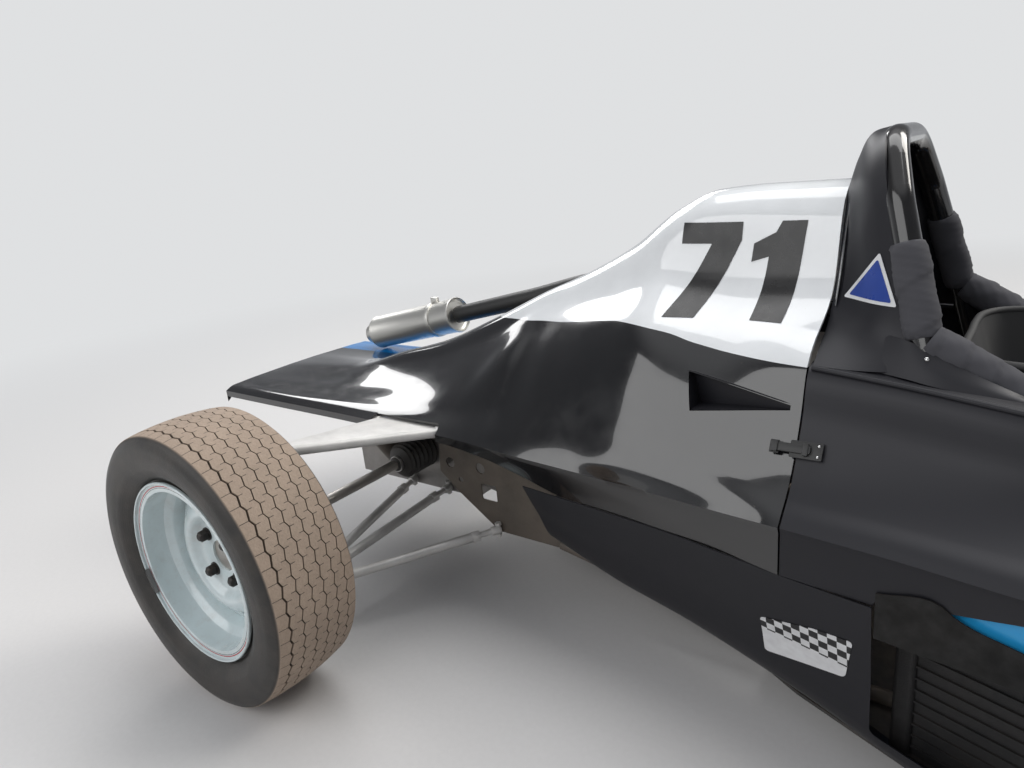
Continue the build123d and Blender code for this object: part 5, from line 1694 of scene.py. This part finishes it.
def pale_world(colour):
    """Pale backdrop for the camera and reflections, dimmer light for everything else."""
    world = bpy.data.worlds.new("pale_studio")
    bpy.context.scene.world = world
    world.use_nodes = True
    tree = world.node_tree
    tree.nodes.clear()
    rays = put(tree, "ShaderNodeLightPath")
    seen = sum_up(tree, "ADD", rays.outputs["Is Camera Ray"], rays.outputs["Is Transmission Ray"])
    way = put(tree, "ShaderNodeTexCoord").outputs["Generated"]
    height = put(tree, "ShaderNodeSeparateXYZ", {0: way}).outputs["Z"]
    sky = blend_colour(tree, between(tree, height, -0.05, 0.55, smooth=True), (0.04, 0.04, 0.045),
                       (0.34, 0.35, 0.38))
    # Reflections show a pale horizon, a darker wall and a pale ceiling
    mirrored = blend_colour(tree, between(tree, height, 0.02, 0.34, smooth=True), (0.46, 0.47, 0.49),
                            (0.15, 0.155, 0.165))
    mirrored = blend_colour(tree, between(tree, height, 0.60, 0.85, smooth=True), mirrored,
                            (0.62, 0.63, 0.65))
    lit = blend_colour(tree, rays.outputs["Is Glossy Ray"], sky, mirrored)
    shown = blend_colour(tree, between(tree, seen, 0.0, 1.0), lit, (*colour,))
    light = put(tree, "ShaderNodeBackground", {"Color": shown, "Strength": 1.0})
    out = put(tree, "ShaderNodeOutputWorld")
    tree.links.new(light.outputs[0], out.inputs[0])


class CAR_OT_stage(bpy.types.Operator):
    """Set the camera, the soft lights and the plain pale floor"""
    bl_idname = "car.stage"
    bl_label = "Studio"

    def execute(self, context):
        sizes = context.scene.car_studio
        camera = bpy.data.objects.new("camera", bpy.data.cameras.new("camera"))
        context.scene.collection.objects.link(camera)
        camera.matrix_world = view_matrix(sizes)
        camera.data.sensor_width = 36.0
        camera.data.lens = sizes.lens
        camera.data.clip_start, camera.data.clip_end = 0.05, 100.0
        context.scene.camera = camera
        context.scene.view_settings.view_transform = "Standard"
        bpy.ops.mesh.primitive_plane_add(size=60.0, location=(0, 0, 0))
        floor = context.active_object
        floor.name = "floor"
        material, tree = start("floor_pale", Roughness=0.75)
        grain = between(tree, noise(tree, object_place(tree), 90.0, 3.0), 0.3, 0.7)
        tone = (*sizes.floor_colour,)
        to_shader(tree, "Base Color", blend_colour(tree, grain, tone, tuple(c * 0.97 for c in tone)))
        reach = put(tree, "ShaderNodeVectorMath", {0: object_place(tree)}, operation="LENGTH")
        rays = put(tree, "ShaderNodeLightPath")
        seen = sum_up(tree, "MAXIMUM", rays.outputs["Is Camera Ray"], rays.outputs["Is Glossy Ray"])
        fade = between(tree, reach.outputs["Value"], *FADE, smooth=True)
        share = sum_up(tree, "MULTIPLY", fade, seen)
        glow = put(tree, "ShaderNodeEmission", {"Color": (*sizes.backdrop_colour, 1.0)})
        mixed = put(tree, "ShaderNodeMixShader",
                    {0: share, 1: tree.nodes["Principled BSDF"].outputs[0], 2: glow.outputs[0]})
        tree.links.new(mixed.outputs[0], tree.nodes["Material Output"].inputs[0])
        floor.data.materials.append(material)
        pale_world(sizes.backdrop_colour)
        for lamp in LAMPS:
            area_light(*lamp)
        return {"FINISHED"}


class CAR_PT_panel(bpy.types.Panel):
    """Sizes, colours and pieces of the racing car"""
    bl_idname = "CAR_PT_panel"
    bl_label = "Racing Car"
    bl_space_type = "VIEW_3D"
    bl_region_type = "UI"
    bl_category = "Racing Car"

    def draw(self, context):
        for name in GROUPS:
            group = getattr(context.scene, name)
            box = self.layout.box()
            for key in group.bl_rna.properties.keys():
                if key not in ("rna_type", "name"):
                    box.prop(group, key)
        for operator in OPERATORS:
            self.layout.operator(operator.bl_idname)


GROUPS = {"car_paint": PaintColours, "car_studio": StudioSizes, "car_body": BodySizes,
          "car_wheels": WheelSizes}
OPERATORS = (CAR_OT_stage, CAR_OT_finishes, CAR_OT_engine_cover, CAR_OT_front_panels, CAR_OT_wheels,
             CAR_OT_rods, CAR_OT_markings, CAR_OT_hoop_trim, CAR_OT_seat, CAR_OT_side_pods,
             CAR_OT_exhaust, CAR_OT_fittings, CAR_OT_driveline, CAR_OT_mirror_glass)


def register():
    for group in GROUPS.values():
        bpy.utils.register_class(group)
    for name, group in GROUPS.items():
        setattr(bpy.types.Scene, name, PointerProperty(type=group))
    for operator in OPERATORS:
        bpy.utils.register_class(operator)
    bpy.utils.register_class(CAR_PT_panel)


def unregister():
    bpy.utils.unregister_class(CAR_PT_panel)
    for operator in reversed(OPERATORS):
        bpy.utils.unregister_class(operator)
    for name, group in reversed(GROUPS.items()):
        delattr(bpy.types.Scene, name)
        bpy.utils.unregister_class(group)


def main():
    """Makes every piece in turn."""
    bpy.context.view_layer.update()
    register()
    for operator in OPERATORS:
        group, name = operator.bl_idname.split(".")
        getattr(getattr(bpy.ops, group), name)()


if __name__ == "__main__":
    main()
